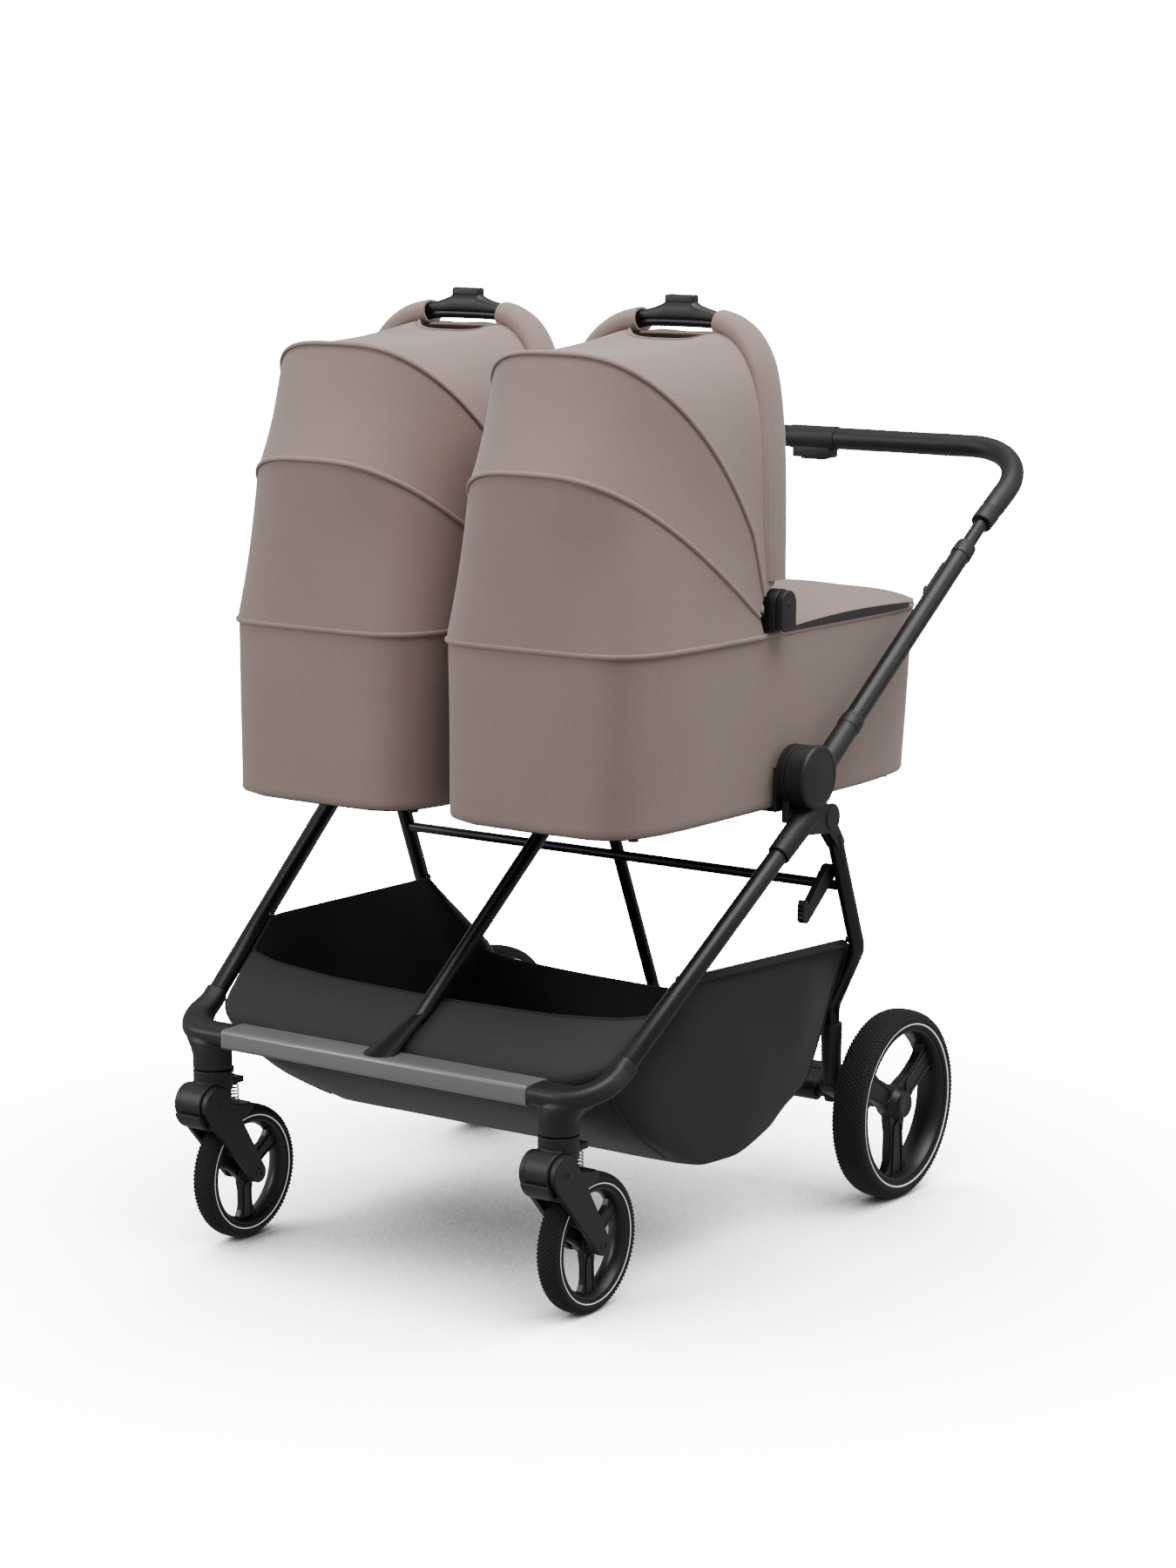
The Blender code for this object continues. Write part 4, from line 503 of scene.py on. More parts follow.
for side, suffix in SIDES:
    x = side * SOCKET.x
    bm = bmesh.new()
    add_rod(bm, (x, SOCKET.y, 0.170), (x, SOCKET.y, SOCKET.z), 0.0135, 32, 0.0152)
    add_plate(bm, capsule((AXLE_Y, AXLE_Z), 0.0190, (SOCKET.y, 0.172), 0.0128), x - 0.0110, x + 0.0110)
    add_rod(bm, (x, AXLE_Y, AXLE_Z), (side * 0.3310, AXLE_Y, AXLE_Z), 0.0125, 32, 0.0100)
    add_plate(bm, capsule((AXLE_Y + 0.004, AXLE_Z), 0.0110, (AXLE_Y - 0.034, AXLE_Z + 0.004), 0.0080),
              x - side * 0.030 - 0.0050, x - side * 0.030 + 0.0050)
    outward(bm)
    bracket = moulded("axle_bracket_" + suffix, bm, NYLON, 1.1, 3)
    fit(bracket, "rear_frame", "plastic")


# Brake pedal and fold latch
# The pedal is a moulded lever on the axle with three grip ribs across its tread. The latch is a
# flat toothed bar on the right rear leg that catches the front leg when the chassis is folded.
bm = bmesh.new()
add_turned(bm, [(0.0088, -0.026), (0.0150, -0.026), (0.0150, 0.026), (0.0088, 0.026)],
           (0.205, AXLE_Y, AXLE_Z), 48)
add_plate(bm, capsule((AXLE_Y + 0.010, AXLE_Z + 0.003), 0.0100, (AXLE_Y + 0.052, AXLE_Z + 0.020), 0.0060),
          0.187, 0.223)
add_block(bm, (0.1795, AXLE_Y + 0.034, AXLE_Z + 0.0125), (0.2305, AXLE_Y + 0.0695, AXLE_Z + 0.0225))
for place in (0.041, 0.050, 0.059):
    add_block(bm, (0.1835, AXLE_Y + place, AXLE_Z + 0.020),
              (0.2265, AXLE_Y + place + 0.0028, AXLE_Z + 0.0240))
outward(bm)
pedal = moulded("brake_pedal_moulding", bm, NYLON, 0.8, 2)
fit(pedal, "brake", "plastic", "brake_pedal")

LATCH_PIVOT = (rear_leg_y(0.503) - 0.009, 0.503)
LATCH_TIP = (AXLE_Y - 0.250, 0.452)
bm = bmesh.new()
add_plate(bm, capsule(LATCH_PIVOT, 0.0125, LATCH_TIP, 0.0085), 0.3515, 0.3632)
add_plate(bm, capsule(LATCH_TIP, 0.0083, (LATCH_TIP[0] - 0.002, LATCH_TIP[1] + 0.020), 0.0040),
          0.3515, 0.3632)
for tooth in range(4):
    rise = 0.449 + 0.006 * tooth
    add_plate(bm, [(LATCH_TIP[0] - 0.0070, rise), (LATCH_TIP[0] - 0.0092, rise + 0.0024),
                   (LATCH_TIP[0] - 0.0040, rise + 0.0044)], 0.3520, 0.3627)
outward(bm)
latch = moulded("fold_latch_bar", bm, NYLON, 0.7, 2)
fit(latch, "latch", "plastic", "fold_latch")
bm = bmesh.new()
add_turned(bm, [(0.0, 0.3508), (0.0050, 0.3508), (0.0062, 0.3515), (0.0062, 0.3640), (0.0, 0.3640)],
           (0.0, *LATCH_PIVOT), 32)
rivet = finished("fold_latch_rivet", bm, POWDER_COAT)
fit(rivet, "latch", "plastic")


# Tyres
# Solid foamed-rubber tyres with a fine diamond knurl round the tread, smooth sidewalls and a
# thin reflective ring on each side. The knobs stand about a millimetre proud.
RUBBER = grained_finish("foamed_rubber", "#191818", "#100f0f", 0.78, 1.4, 0.18)
# A printed reflective band is a smooth bright grey-white.
REFLECTOR = grained_finish("reflective_band", "#f1f4f5", "#e4e8ea", 0.38, 2.0, 0.01)
# Its glass beads send the room's light straight back; a faint painted glow, an emission of the band's own,
# stands in for that light.
reflector_painted_glow_shader = REFLECTOR.node_tree.nodes["Principled BSDF"]
reflector_painted_glow_shader.inputs["Emission Color"].default_value = linear("#e8eef2")
reflector_painted_glow_shader.inputs["Emission Strength"].default_value = 0.45


# The squareness of a tyre's section, as the power of its superellipse.
TYRE_SQUARE = 2.4


def squared(share):
    """How high a tyre's section stands, for a share of its half width."""
    return max(0.0, 1.0 - abs(share) ** TYRE_SQUARE) ** (1.0 / TYRE_SQUARE)


def new_group(name, taken, given, numbers, finish_name):
    """An empty geometry group with its sockets, and what its numbers and finish are called in a modifier."""
    tree = bpy.data.node_groups.new(name, "GeometryNodeTree")
    tree.interface.new_socket(taken, in_out="INPUT", socket_type="NodeSocketGeometry")
    sockets = [tree.interface.new_socket(number, in_out="INPUT", socket_type="NodeSocketFloat")
               for number in numbers]
    sockets.append(tree.interface.new_socket(finish_name, in_out="INPUT", socket_type="NodeSocketMaterial"))
    tree.interface.new_socket(given, in_out="OUTPUT", socket_type="NodeSocketGeometry")
    return tree, [socket.identifier for socket in sockets]


def grow(piece, group, sockets, values, sharp):
    """The piece with a geometry group's work made real."""
    modifier = piece.modifiers.new("grow", "NODES")
    modifier.node_group = group
    for socket, value in zip(sockets, values):
        modifier[socket] = value
    return made_real(piece, sharp)


def knurl_tree():
    """Small pyramids stood on the points of a band, square to its surface."""
    tree, sockets = new_group("tread_knobs", "Band", "Knobs", ("Knob width", "Knob height"), "Rubber")
    start = add_node(tree, "NodeGroupInput")
    narrow = add_node(tree, "ShaderNodeMath", {0: start.outputs["Knob width"], 1: 0.55}, operation="MULTIPLY")
    knob = add_node(tree, "GeometryNodeMeshCone", {
        "Vertices": 4, "Radius Top": narrow.outputs[0], "Radius Bottom": start.outputs["Knob width"],
        "Depth": start.outputs["Knob height"]})
    normal = add_node(tree, "GeometryNodeInputNormal")
    upright = add_node(tree, "FunctionNodeAlignRotationToVector", {"Vector": normal.outputs["Normal"]},
                       axis="Z")
    square = add_node(tree, "FunctionNodeAlignRotationToVector", {
        "Rotation": upright.outputs["Rotation"], "Vector": (1.0, 0.0, 0.0)}, axis="X", pivot_axis="Z")
    stand = add_node(tree, "GeometryNodeInstanceOnPoints", {
        "Points": start.outputs["Band"], "Instance": knob.outputs["Mesh"],
        "Rotation": square.outputs["Rotation"]})
    real = add_node(tree, "GeometryNodeRealizeInstances", {"Geometry": stand.outputs["Instances"]})
    cover = add_node(tree, "GeometryNodeSetMaterial", {
        "Geometry": real.outputs["Geometry"], "Material": start.outputs["Rubber"]})
    add_node(tree, "NodeGroupOutput", {"Knobs": cover.outputs["Geometry"]})
    return tree, sockets


KNOBS, KNOB_SOCKETS = knurl_tree()


def tyre(name, centre, radius, width, bead_r, around, rows, knob_w, knob_h, ring):
    """A tyre, its tread and its two reflective rings."""
    x, y, z = centre
    half = width / 2
    crown = radius - knob_h
    middle = (crown + bead_r) / 2
    depth = (crown - bead_r) / 2
    profile = []
    for step in range(37):
        out, side = squircle(math.pi * (step / 36 - 0.5) * 1.22, TYRE_SQUARE)
        profile.append((middle + depth * out, half * side))
    profile += [(bead_r, profile[-1][1] * 0.97), (bead_r, -profile[-1][1] * 0.97)]
    bm = bmesh.new()
    add_turned(bm, profile, centre, 120)
    outward(bm)
    carcass = finished(name + "_carcass", bm, RUBBER)

    bm = bmesh.new()
    lines = []
    spread = half * 0.86
    for row in range(rows):
        offset = -spread + 2 * spread * row / (rows - 1)
        r = middle + depth * squared(offset / half) - 0.0002
        line = []
        for step in range(around):
            angle = 2 * math.pi * (step + 0.5 * (row % 2)) / around
            line.append(bm.verts.new((x + offset, y + r * math.cos(angle), z + r * math.sin(angle))))
        lines.append(line)
    join_rows(bm, lines)
    outward(bm)
    tread = finished(name + "_tread", bm, RUBBER)
    grow(tread, KNOBS, KNOB_SOCKETS, (knob_w, knob_h, RUBBER), 20.0)

    bm = bmesh.new()
    for side in (-1.0, 1.0):
        face = []
        for step in range(9):
            r = ring[0] + (ring[1] - ring[0]) * step / 8
            face.append((r, side * half * squared((r - middle) / depth)))
        rise = side * 0.0006
        band = [(r, offset + (rise if 0 < step < 8 else 0.0)) for step, (r, offset) in enumerate(face)]
        band += [(r, offset - rise) for r, offset in face[::-1]]
        add_turned(bm, band, centre, 120)
    outward(bm)
    rings = finished(name + "_rings", bm, REFLECTOR)
    return carcass, tread, rings


REAR_WHEEL_X = 0.35425
FRONT_WHEEL = (AXLE_Y - 0.663, 0.093)
KNOB_HEIGHT = 0.0012
for side, suffix in SIDES:
    wheels = (
        ("rear_", (side * REAR_WHEEL_X, AXLE_Y, AXLE_Z), 0.1350, 0.0500, 0.1085, 132, 11, 0.0030,
         (0.1116, 0.1170)),
        ("front_", (side * CASTOR_X, *FRONT_WHEEL), 0.0930, 0.0325, 0.0735, 100, 9, 0.0027,
         (0.0746, 0.0793)),
    )
    for end, centre, radius, width, bead_r, around, rows, knob_w, ring in wheels:
        carcass, tread, rings = tyre(end + "tyre_" + suffix + "_rubber", centre, radius, width, bead_r,
                                     around, rows, knob_w, KNOB_HEIGHT, ring)
        fit(carcass, end + "wheel_" + suffix, "tyre", end + "tyre_" + suffix)
        fit(tread, end + "wheel_" + suffix, "tyre")
        fit(rings, end + "wheel_" + suffix, "tyre")


# Wheel rims
# Injection-moulded nylon rims: a deep dished barrel with a rolled lip, and three broad spokes
# that flow into the hub, each with a raised loop along it. A plain cap closes the rear hubs.
# A rim is polished a little glossier than the other mouldings.
RIM_NYLON = grained_finish("moulded_rim_nylon", "#141516", "#0e0f10", 0.40, 0.7, 0.05)


def add_ridge(bm, centre, offset, angle, near_r, far_r, half_w, radius):
    """The raised loop on one spoke: out, round near the hub, and out again."""
    x, y, z = centre
    points = []
    for step in range(19):
        turn = math.pi * step / 18
        points.append((near_r + half_w - half_w * math.sin(turn), -half_w * math.cos(turn)))
    spread = half_w * 1.25
    outline = [(far_r, -spread), *points, (far_r, spread)]
    route = []
    for out, across in outline:
        route.append((x + offset, y + out * math.cos(angle) - across * math.sin(angle),
                      z + out * math.sin(angle) + across * math.cos(angle)))
    add_swept(bm, route, radius, 12, up=(1.0, 0.0, 0.0))


def rim(name, centre, seat_r, half, hub_r, hub_half, scale):
    """The barrel, the spokes with their hub, and the ridges."""
    x, y, z = centre
    bm = bmesh.new()
    lip = [(seat_r - 0.0003, half - 0.0030), (seat_r + 0.0002, half - 0.0012), (seat_r - 0.0008, half),
           (seat_r - 0.0026, half), (seat_r - 0.0038, half - 0.0012), (seat_r - 0.0060, half * 0.55)]
    waist = [(seat_r - 0.0088, half * 0.20), (seat_r - 0.0088, -half * 0.20)]
    add_turned(bm, lip + waist + [(r, -offset) for r, offset in lip[::-1]], centre, 120)
    for index in range(3):
        angle = math.radians(-90.0) + index * 2 * math.pi / 3
        for face in (-1.0, 1.0):
            add_ridge(bm, centre, face * 0.0082 * scale, angle, hub_r * 1.15, seat_r - 0.0080,
                      0.0105 * scale, 0.0017 * scale)
    outward(bm)
    barrel = finished(name + "_barrel", bm, RIM_NYLON, 50.0)

    bm = bmesh.new()
    add_turned(bm, [(0.0, -hub_half), (hub_r * 0.80, -hub_half), (hub_r, -hub_half * 0.55),
                    (hub_r * 1.15, 0.0), (hub_r, hub_half * 0.55), (hub_r * 0.80, hub_half),
                    (0.0, hub_half)], centre, 64)
    reach = seat_r - 0.0065
    shape = ((0.0, 0.0230), (0.26, 0.0200), (0.42, 0.0165), (0.66, 0.0160), (0.82, 0.0190),
             (0.93, 0.0260), (1.0, 0.0350))
    for index in range(3):
        angle = math.radians(-90.0) + index * 2 * math.pi / 3
        cosine = math.cos(angle)
        sine = math.sin(angle)
        left = []
        right = []
        for share, wide in shape:
            out = reach * share
            wide = wide * scale
            left.append((y + out * cosine - wide * sine, z + out * sine + wide * cosine))
            right.append((y + out * cosine + wide * sine, z + out * sine - wide * cosine))
        add_plate(bm, left + right[::-1], x - 0.0075 * scale, x + 0.0075 * scale)
    outward(bm)
    spokes = moulded(name + "_spokes", bm, RIM_NYLON, 1.3 * scale, 5)
    return barrel, spokes


for side, suffix in SIDES:
    pieces = rim("rear_rim_" + suffix + "_moulding", (side * REAR_WHEEL_X, AXLE_Y, AXLE_Z), 0.1087, 0.0218,
                 0.0230, 0.0185, 1.0)
    fit(pieces[0], "rear_wheel_" + suffix, "plastic", "rear_rim_" + suffix)
    fit(pieces[1], "rear_wheel_" + suffix, "plastic")
    bm = bmesh.new()
    cap = ((0.0, 0.0180), (0.0190, 0.0180), (0.0190, 0.0196), (0.0176, 0.0210), (0.0150, 0.0216),
           (0.0140, 0.0211), (0.0, 0.0216))
    add_turned(bm, [(r, side * out) for r, out in cap], (side * REAR_WHEEL_X, AXLE_Y, AXLE_Z), 64)
    outward(bm)
    hub_cap = finished("rear_hub_cap_" + suffix, bm, RIM_NYLON)
    fit(hub_cap, "rear_wheel_" + suffix, "plastic")
    pieces = rim("front_rim_" + suffix + "_moulding", (side * CASTOR_X, *FRONT_WHEEL), 0.0737, 0.0148,
                 0.0150, 0.0172, 0.66)
    fit(pieces[0], "front_wheel_" + suffix, "plastic", "front_rim_" + suffix)
    fit(pieces[1], "front_wheel_" + suffix, "plastic")


# Castors
# Under each corner a moulded neck turns on its stem and ends in a barrel. The fork's two plates
# pivot on a bolt through the barrel, joined by a skirt in front, and a coil spring behind the
# neck takes the bumps. A small tab behind the neck locks the swivel.
# The spring is bright zinc-plated wire.
SPRING_WIRE = grained_finish("zinc_plated_wire", "#c9cfcc", "#a9b3b0", 0.22, 1.2, 0.02, 1.0)
# Bolts are blackened steel, a little shinier than the plastic round them.
BLACK_STEEL = grained_finish("blackened_steel", "#48494b", "#2e2f31", 0.34, 1.0, 0.02, 0.8)
FORK_PIVOT = (AXLE_Y - 0.745, 0.206)
SPRING_Y = BOSS_Y + 0.0445


def add_bolt(bm, x, y, z, side, radius):
    """A socket-head bolt seen end on: a rounded rim round a six-sided recess."""
    steps = 36
    rings = ((radius, -0.0006), (radius, 0.0006), (radius * 0.90, 0.0011), (radius * 0.62, 0.0011))
    rows = []
    for r, out in rings:
        rows.append([bm.verts.new((x + side * out, y + r * cosine, z + r * sine))
                     for cosine, sine in circle(steps)])
    for depth in (0.0011, -0.0012):
        row = []
        for step in range(steps):
            angle = 2 * math.pi * step / steps
            fold = (angle + math.pi / 6) % (math.pi / 3) - math.pi / 6
            r = radius * 0.50 / math.cos(fold)
            row.append(bm.verts.new((x + side * depth, y + r * math.cos(angle), z + r * math.sin(angle))))
        rows.append(row)
    join_rows(bm, rows, caps=True)


for side, suffix in SIDES:
    x = side * CASTOR_X
    bm = bmesh.new()
    add_rod(bm, (x, BOSS_Y, 0.222), (x, BOSS_Y, SWIVEL_Z - 0.0012), BOSS_R, 64)
    add_turned(bm, [(0.0, -0.0187), (0.0280, -0.0187), (0.0290, -0.0177), (0.0290, 0.0177),
                    (0.0280, 0.0187), (0.0, 0.0187)], (x, *FORK_PIVOT), 96)
    add_block(bm, (x - 0.0175, FORK_PIVOT[0], 0.2060), (x + 0.0175, BOSS_Y + 0.018, 0.2330))
    add_block(bm, (x - 0.0090, BOSS_Y + 0.010, 0.2212), (x + 0.0090, SPRING_Y + 0.0090, 0.2300))
    add_block(bm, (x - 0.0075, BOSS_Y + 0.018, 0.2300), (x + 0.0075, BOSS_Y + 0.0355, 0.2370))
    outward(bm)
    swivel = moulded("castor_neck_" + suffix, bm, NYLON, 0.9, 3)
    fit(swivel, "castor_" + suffix, "plastic", "castor_swivel_" + suffix)

    bm = bmesh.new()
    add_block(bm, (x - 0.0064, BOSS_Y + 0.0275, 0.2375), (x + 0.0064, BOSS_Y + 0.0375, 0.2478))
    tab = eased(finished("swivel_lock_tab_" + suffix, bm, NYLON), 0.0018, 3)
    fit(tab, "lock_" + suffix, "plastic", "swivel_lock_" + suffix)

    bm = bmesh.new()
    coil = []
    coil_steps = 5 * 24
    for step in range(coil_steps + 1):
        angle = 2 * math.pi * step / 24
        coil.append((x + 0.0052 * math.cos(angle), SPRING_Y + 0.0052 * math.sin(angle),
                     0.1968 + 0.0225 * step / coil_steps))
    add_swept(bm, coil, 0.0011, 12)
    spring = finished("castor_coil_" + suffix, bm, SPRING_WIRE)
    fit(spring, "castor_" + suffix, "spring_steel", "castor_spring_" + suffix)
    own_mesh(spring)

    bm = bmesh.new()
    blade = capsule(FORK_PIVOT, 0.0262, FRONT_WHEEL, 0.0138, 24)
    ear = capsule((FORK_PIVOT[0] + 0.022, FORK_PIVOT[1] - 0.020), 0.0180, (SPRING_Y, 0.1900), 0.0058, 18)
    for low, high in ((-0.0285, -0.0196), (0.0196, 0.0285)):
        add_plate(bm, blade, x + low, x + high)
        add_plate(bm, ear, x + low, x + high)
    add_block(bm, (x - 0.0205, SPRING_Y - 0.0140, 0.1882), (x + 0.0205, SPRING_Y + 0.0100, 0.1950))
    skirt = []
    for start, turned, radius in ((196.0, 86.0, 0.0352), (282.0, -86.0, 0.0303)):
        for step in range(13):
            angle = math.radians(start + turned * step / 12)
            skirt.append((FORK_PIVOT[0] + radius * math.cos(angle), FORK_PIVOT[1] + radius * math.sin(angle)))
    add_plate(bm, skirt, x - 0.0210, x + 0.0210)
    outward(bm)
    fork = moulded("castor_fork_moulding_" + suffix, bm, NYLON, 0.9, 3)
    fit(fork, "fork_" + suffix, "plastic", "castor_fork_" + suffix)

    bm = bmesh.new()
    for face in (-1.0, 1.0):
        add_bolt(bm, x + face * 0.0283, *FORK_PIVOT, face, 0.0046)
        add_bolt(bm, x + face * 0.0283, *FRONT_WHEEL, face, 0.0066)
    outward(bm)
    bolts = finished("castor_bolts_" + suffix, bm, BLACK_STEEL, 30.0)
    fit(bolts, "fork_" + suffix, "spring_steel")


# Handle arms
# Each arm is an aluminium tube in a moulded shroud whose drum turns on the hub. A wide plain cap
# closes the drum, a clip ends the shroud, and a collar ends the outer tube.
ARM_X = 0.375
ARM_TURN = math.radians(33.7)
ARM_WAY = Vector((0.0, math.cos(ARM_TURN), math.sin(ARM_TURN)))
ARM_FOOT = Vector((ARM_X, HUB_Y + 0.020 * math.sin(ARM_TURN), HUB_Z - 0.020 * math.cos(ARM_TURN)))


# The drum lies against the hub's face at this distance from the middle.
DRUM_FACE_X = 0.3670


def arm_point(distance, side=1.0):
    """A point on the line of an arm, that far from its foot."""
    point = ARM_FOOT + ARM_WAY * distance
    return Vector((point.x * side, point.y, point.z))


for side, suffix in SIDES:
    bm = bmesh.new()
    add_turned(bm, [(0.0, 0.3671), (HUB_R - 0.0006, 0.3671), (HUB_R, 0.3677), (HUB_R, 0.3925), (0.0, 0.3925)],
               (0.0, HUB_Y, HUB_Z), 96)
    add_rod(bm, arm_point(0.020), arm_point(0.052), 0.0208, 48, 0.0166)
    add_rod(bm, arm_point(0.045), arm_point(0.1395), 0.0158, 48, 0.0150)
    add_rod(bm, arm_point(0.1170), arm_point(0.1330), 0.0163, 48)
    to_side(bm, side)
    shroud = moulded("handle_shroud_" + suffix, bm, NYLON, 1.0, 3)
    bm = bmesh.new()
    bm.from_mesh(shroud.data)
    bmesh.ops.bisect_plane(bm, geom=bm.verts[:] + bm.edges[:] + bm.faces[:],
                           plane_co=(side * DRUM_FACE_X, 0.0, 0.0), plane_no=(side, 0.0, 0.0))
    drum_centre = Vector((side * DRUM_FACE_X, HUB_Y, HUB_Z))
    past_face = []
    for face in bm.faces:
        middle = face.calc_center_median()
        if middle.x * side < DRUM_FACE_X and (middle - drum_centre).length < 0.046:
            past_face.append(face)
    bmesh.ops.delete(bm, geom=past_face, context="FACES")
    bmesh.ops.holes_fill(bm, edges=[edge for edge in bm.edges if edge.is_boundary])
    outward(bm)
    bm.to_mesh(shroud.data)
    bm.free()
    fit(shroud, "handle_arms", "plastic", "handle_arm_" + suffix)

    bm = bmesh.new()
    add_turned(bm, [(0.0, 0.3905), (HUB_R + 0.0006, 0.3905), (HUB_R + 0.0016, 0.3915),
                    (HUB_R + 0.0016, 0.3955), (HUB_R - 0.0004, 0.3985), (HUB_R - 0.0040, 0.3998),
                    (HUB_R - 0.0055, 0.3998), (HUB_R - 0.0065, 0.3990), (HUB_R - 0.0080, 0.3994),
                    (0.0, 0.3999)], (0.0, HUB_Y, HUB_Z), 96)
    to_side(bm, side)
    drum_cap = finished("handle_drum_cap_" + suffix, bm, NYLON, 24.0)
    fit(drum_cap, "handle_arms", "plastic")

    bm = bmesh.new()
    add_rod(bm, arm_point(0.1380, side), arm_point(0.4815, side), 0.0140, 48)
    outward(bm)
    tube = finished("handle_arm_tube_" + suffix, bm, POWDER_COAT)
    fit(tube, "handle_arms", "frame_tube")

    bm = bmesh.new()
    route = [arm_point(distance, side) for distance in (0.4795, 0.4805, 0.4850, 0.5005, 0.5030, 0.5040)]
    add_swept(bm, route, [0.0146, 0.0153, 0.0156, 0.0149, 0.0145, 0.0108], 48)
    outward(bm)
    collar = finished("handle_collar_" + suffix, bm, NYLON, 28.0)
    fit(collar, "handle_arms", "plastic")


# Height levers
# A slim moulded lever lies in a slot on the inner side of each arm, with a round thumb pad.
LEVER_AT = 0.430
LEVER_LENGTH = 0.070
for side, suffix in SIDES:
    bm = bmesh.new()
    low = arm_point(LEVER_AT - LEVER_LENGTH / 2)
    high = arm_point(LEVER_AT + LEVER_LENGTH / 2)
    add_plate(bm, capsule((low.y + ARM_WAY.y * 0.003, low.z + ARM_WAY.z * 0.003), 0.00331,
                          (high.y - ARM_WAY.y * 0.003, high.z - ARM_WAY.z * 0.003), 0.0033), 0.3563, 0.3613)
    thumb = arm_point(LEVER_AT - LEVER_LENGTH / 3)
    add_turned(bm, [(0.0, 0.3540), (0.0040, 0.3538), (0.0052, 0.3546), (0.0055, 0.3572), (0.0, 0.3572)],
               (0.0, thumb.y, thumb.z), 40)
    to_side(bm, side)
    lever = moulded("height_lever_moulding_" + suffix, bm, NYLON, 0.5, 2)
    fit(lever, "lever_" + suffix, "plastic", "height_lever_" + suffix)


# Handle
# The inner tube rises from the arms and is bent into one wide bar. Stitched leatherette covers it
# between two collars, and a moulded housing under its middle holds the folding trigger.
# Black leatherette has a pebbled grain of about a millimetre, drawn a little larger.
LEATHERETTE = grained_finish("black_leatherette", "#151415", "#0e0d0e", 0.46, 1.8, 0.32)
HANDLE_Y = AXLE_Y + 0.355
HANDLE_Z = 1.034
HANDLE_BEND = 0.105
GRIP_START = 0.553
TUBE_START = 0.335


def handle_route(start, steps=20):
    """Points from the right arm, round both corners, to the left arm."""
    corner = Vector((ARM_X, HANDLE_Y, HANDLE_Z))
    corners = [arm_point(start), corner, Vector((-corner.x, corner.y, corner.z)), arm_point(start, -1.0)]
    return bent_route(corners, HANDLE_BEND, steps)


bm = bmesh.new()
route = [arm_point(TUBE_START), *handle_route(GRIP_START), arm_point(TUBE_START, -1.0)]
add_swept(bm, route, 0.0100, 32, up=(1.0, 0.0, 0.0))
outward(bm)
inner_tube = finished("handle_inner_tube", bm, POWDER_COAT)
fit(inner_tube, "handle", "frame_tube", "handle_bar")

grip_line = handle_route(GRIP_START)
grip_way = (grip_line[1] - grip_line[0]).normalized()
grip_start = grip_line[0] + grip_way * 0.030
for side, suffix in SIDES:
    bm = bmesh.new()
    route = [arm_point(GRIP_START) + grip_way * place for place in (0.0, 0.0012, 0.0050, 0.0270, 0.0296)]
    add_swept(bm, route, [0.0146, 0.0155, 0.0158, 0.0162, 0.0158], 48)
    to_side(bm, side)
    collar = finished("grip_collar_" + suffix, bm, NYLON, 28.0)
    fit(collar, "handle", "plastic")

bm = bmesh.new()
left_start = Vector((-grip_start.x, grip_start.y, grip_start.z))
grip_route = [grip_start, *grip_line[1:-1], left_start]
dense = []
for near, far in zip(grip_route, grip_route[1:]):
    count = max(1, round((far - near).length / 0.006))
    dense += [near.lerp(far, step / count) for step in range(count)]
dense.append(grip_route[-1])
girth = []
for index, point in enumerate(dense):
    end = min(1.0, min(index, len(dense) - 1 - index) / 2)
    slack = noise.noise(point * 38.0) * 0.00030
    girth.append(0.0150 + 0.0014 * end + slack)
add_swept(bm, dense, girth, 40, up=(1.0, 0.0, 0.0))
outward(bm)
grip = finished("handle_grip_leatherette", bm, LEATHERETTE)
fit(grip, "handle", "grip", "handle_grip")


# The thread along the grip's seam is a flat black polyester.
THREAD = grained_finish("polyester_thread", "#343335", "#29282a", 0.70, 0.8, 0.06)


def stitch_tree():
    """Short threads laid along a line of points, each turned to the line."""
    tree, sockets = new_group("seam_stitches", "Seam", "Stitches",
                              ("Spacing", "Thread radius", "Stitch length"), "Thread")
    start = add_node(tree, "NodeGroupInput")
    line = add_node(tree, "GeometryNodeMeshToCurve", {"Mesh": start.outputs["Seam"]})
    points = add_node(tree, "GeometryNodeCurveToPoints", {
        "Curve": line.outputs["Curve"], "Length": start.outputs["Spacing"]}, mode="LENGTH")
    thread = add_node(tree, "GeometryNodeMeshCylinder", {
        "Vertices": 6, "Radius": start.outputs["Thread radius"], "Depth": start.outputs["Stitch length"]})
    turn = add_node(tree, "FunctionNodeAlignRotationToVector", {"Vector": points.outputs["Tangent"]},
                    axis="Z")
    laid = add_node(tree, "GeometryNodeInstanceOnPoints", {
        "Points": points.outputs["Points"], "Instance": thread.outputs["Mesh"],
        "Rotation": turn.outputs["Rotation"]})
    real = add_node(tree, "GeometryNodeRealizeInstances", {"Geometry": laid.outputs["Instances"]})
    cover = add_node(tree, "GeometryNodeSetMaterial", {
        "Geometry": real.outputs["Geometry"], "Material": start.outputs["Thread"]})
    add_node(tree, "NodeGroupOutput", {"Stitches": cover.outputs["Geometry"]})
    return tree, sockets


STITCHES, STITCH_SOCKETS = stitch_tree()


def stitched(name, lines, material, spacing=0.0042, radius=0.00032, length=0.0030):
    """A seam's stitches along one or more lines of points."""
    bm = bmesh.new()
    for line in lines:
        verts = [bm.verts.new(point) for point in line]
        for near, far in zip(verts, verts[1:]):
            bm.edges.new((near, far))
    seam = finished(name, bm, material)
    return grow(seam, STITCHES, STITCH_SOCKETS, (spacing, radius, length, material), 40.0)


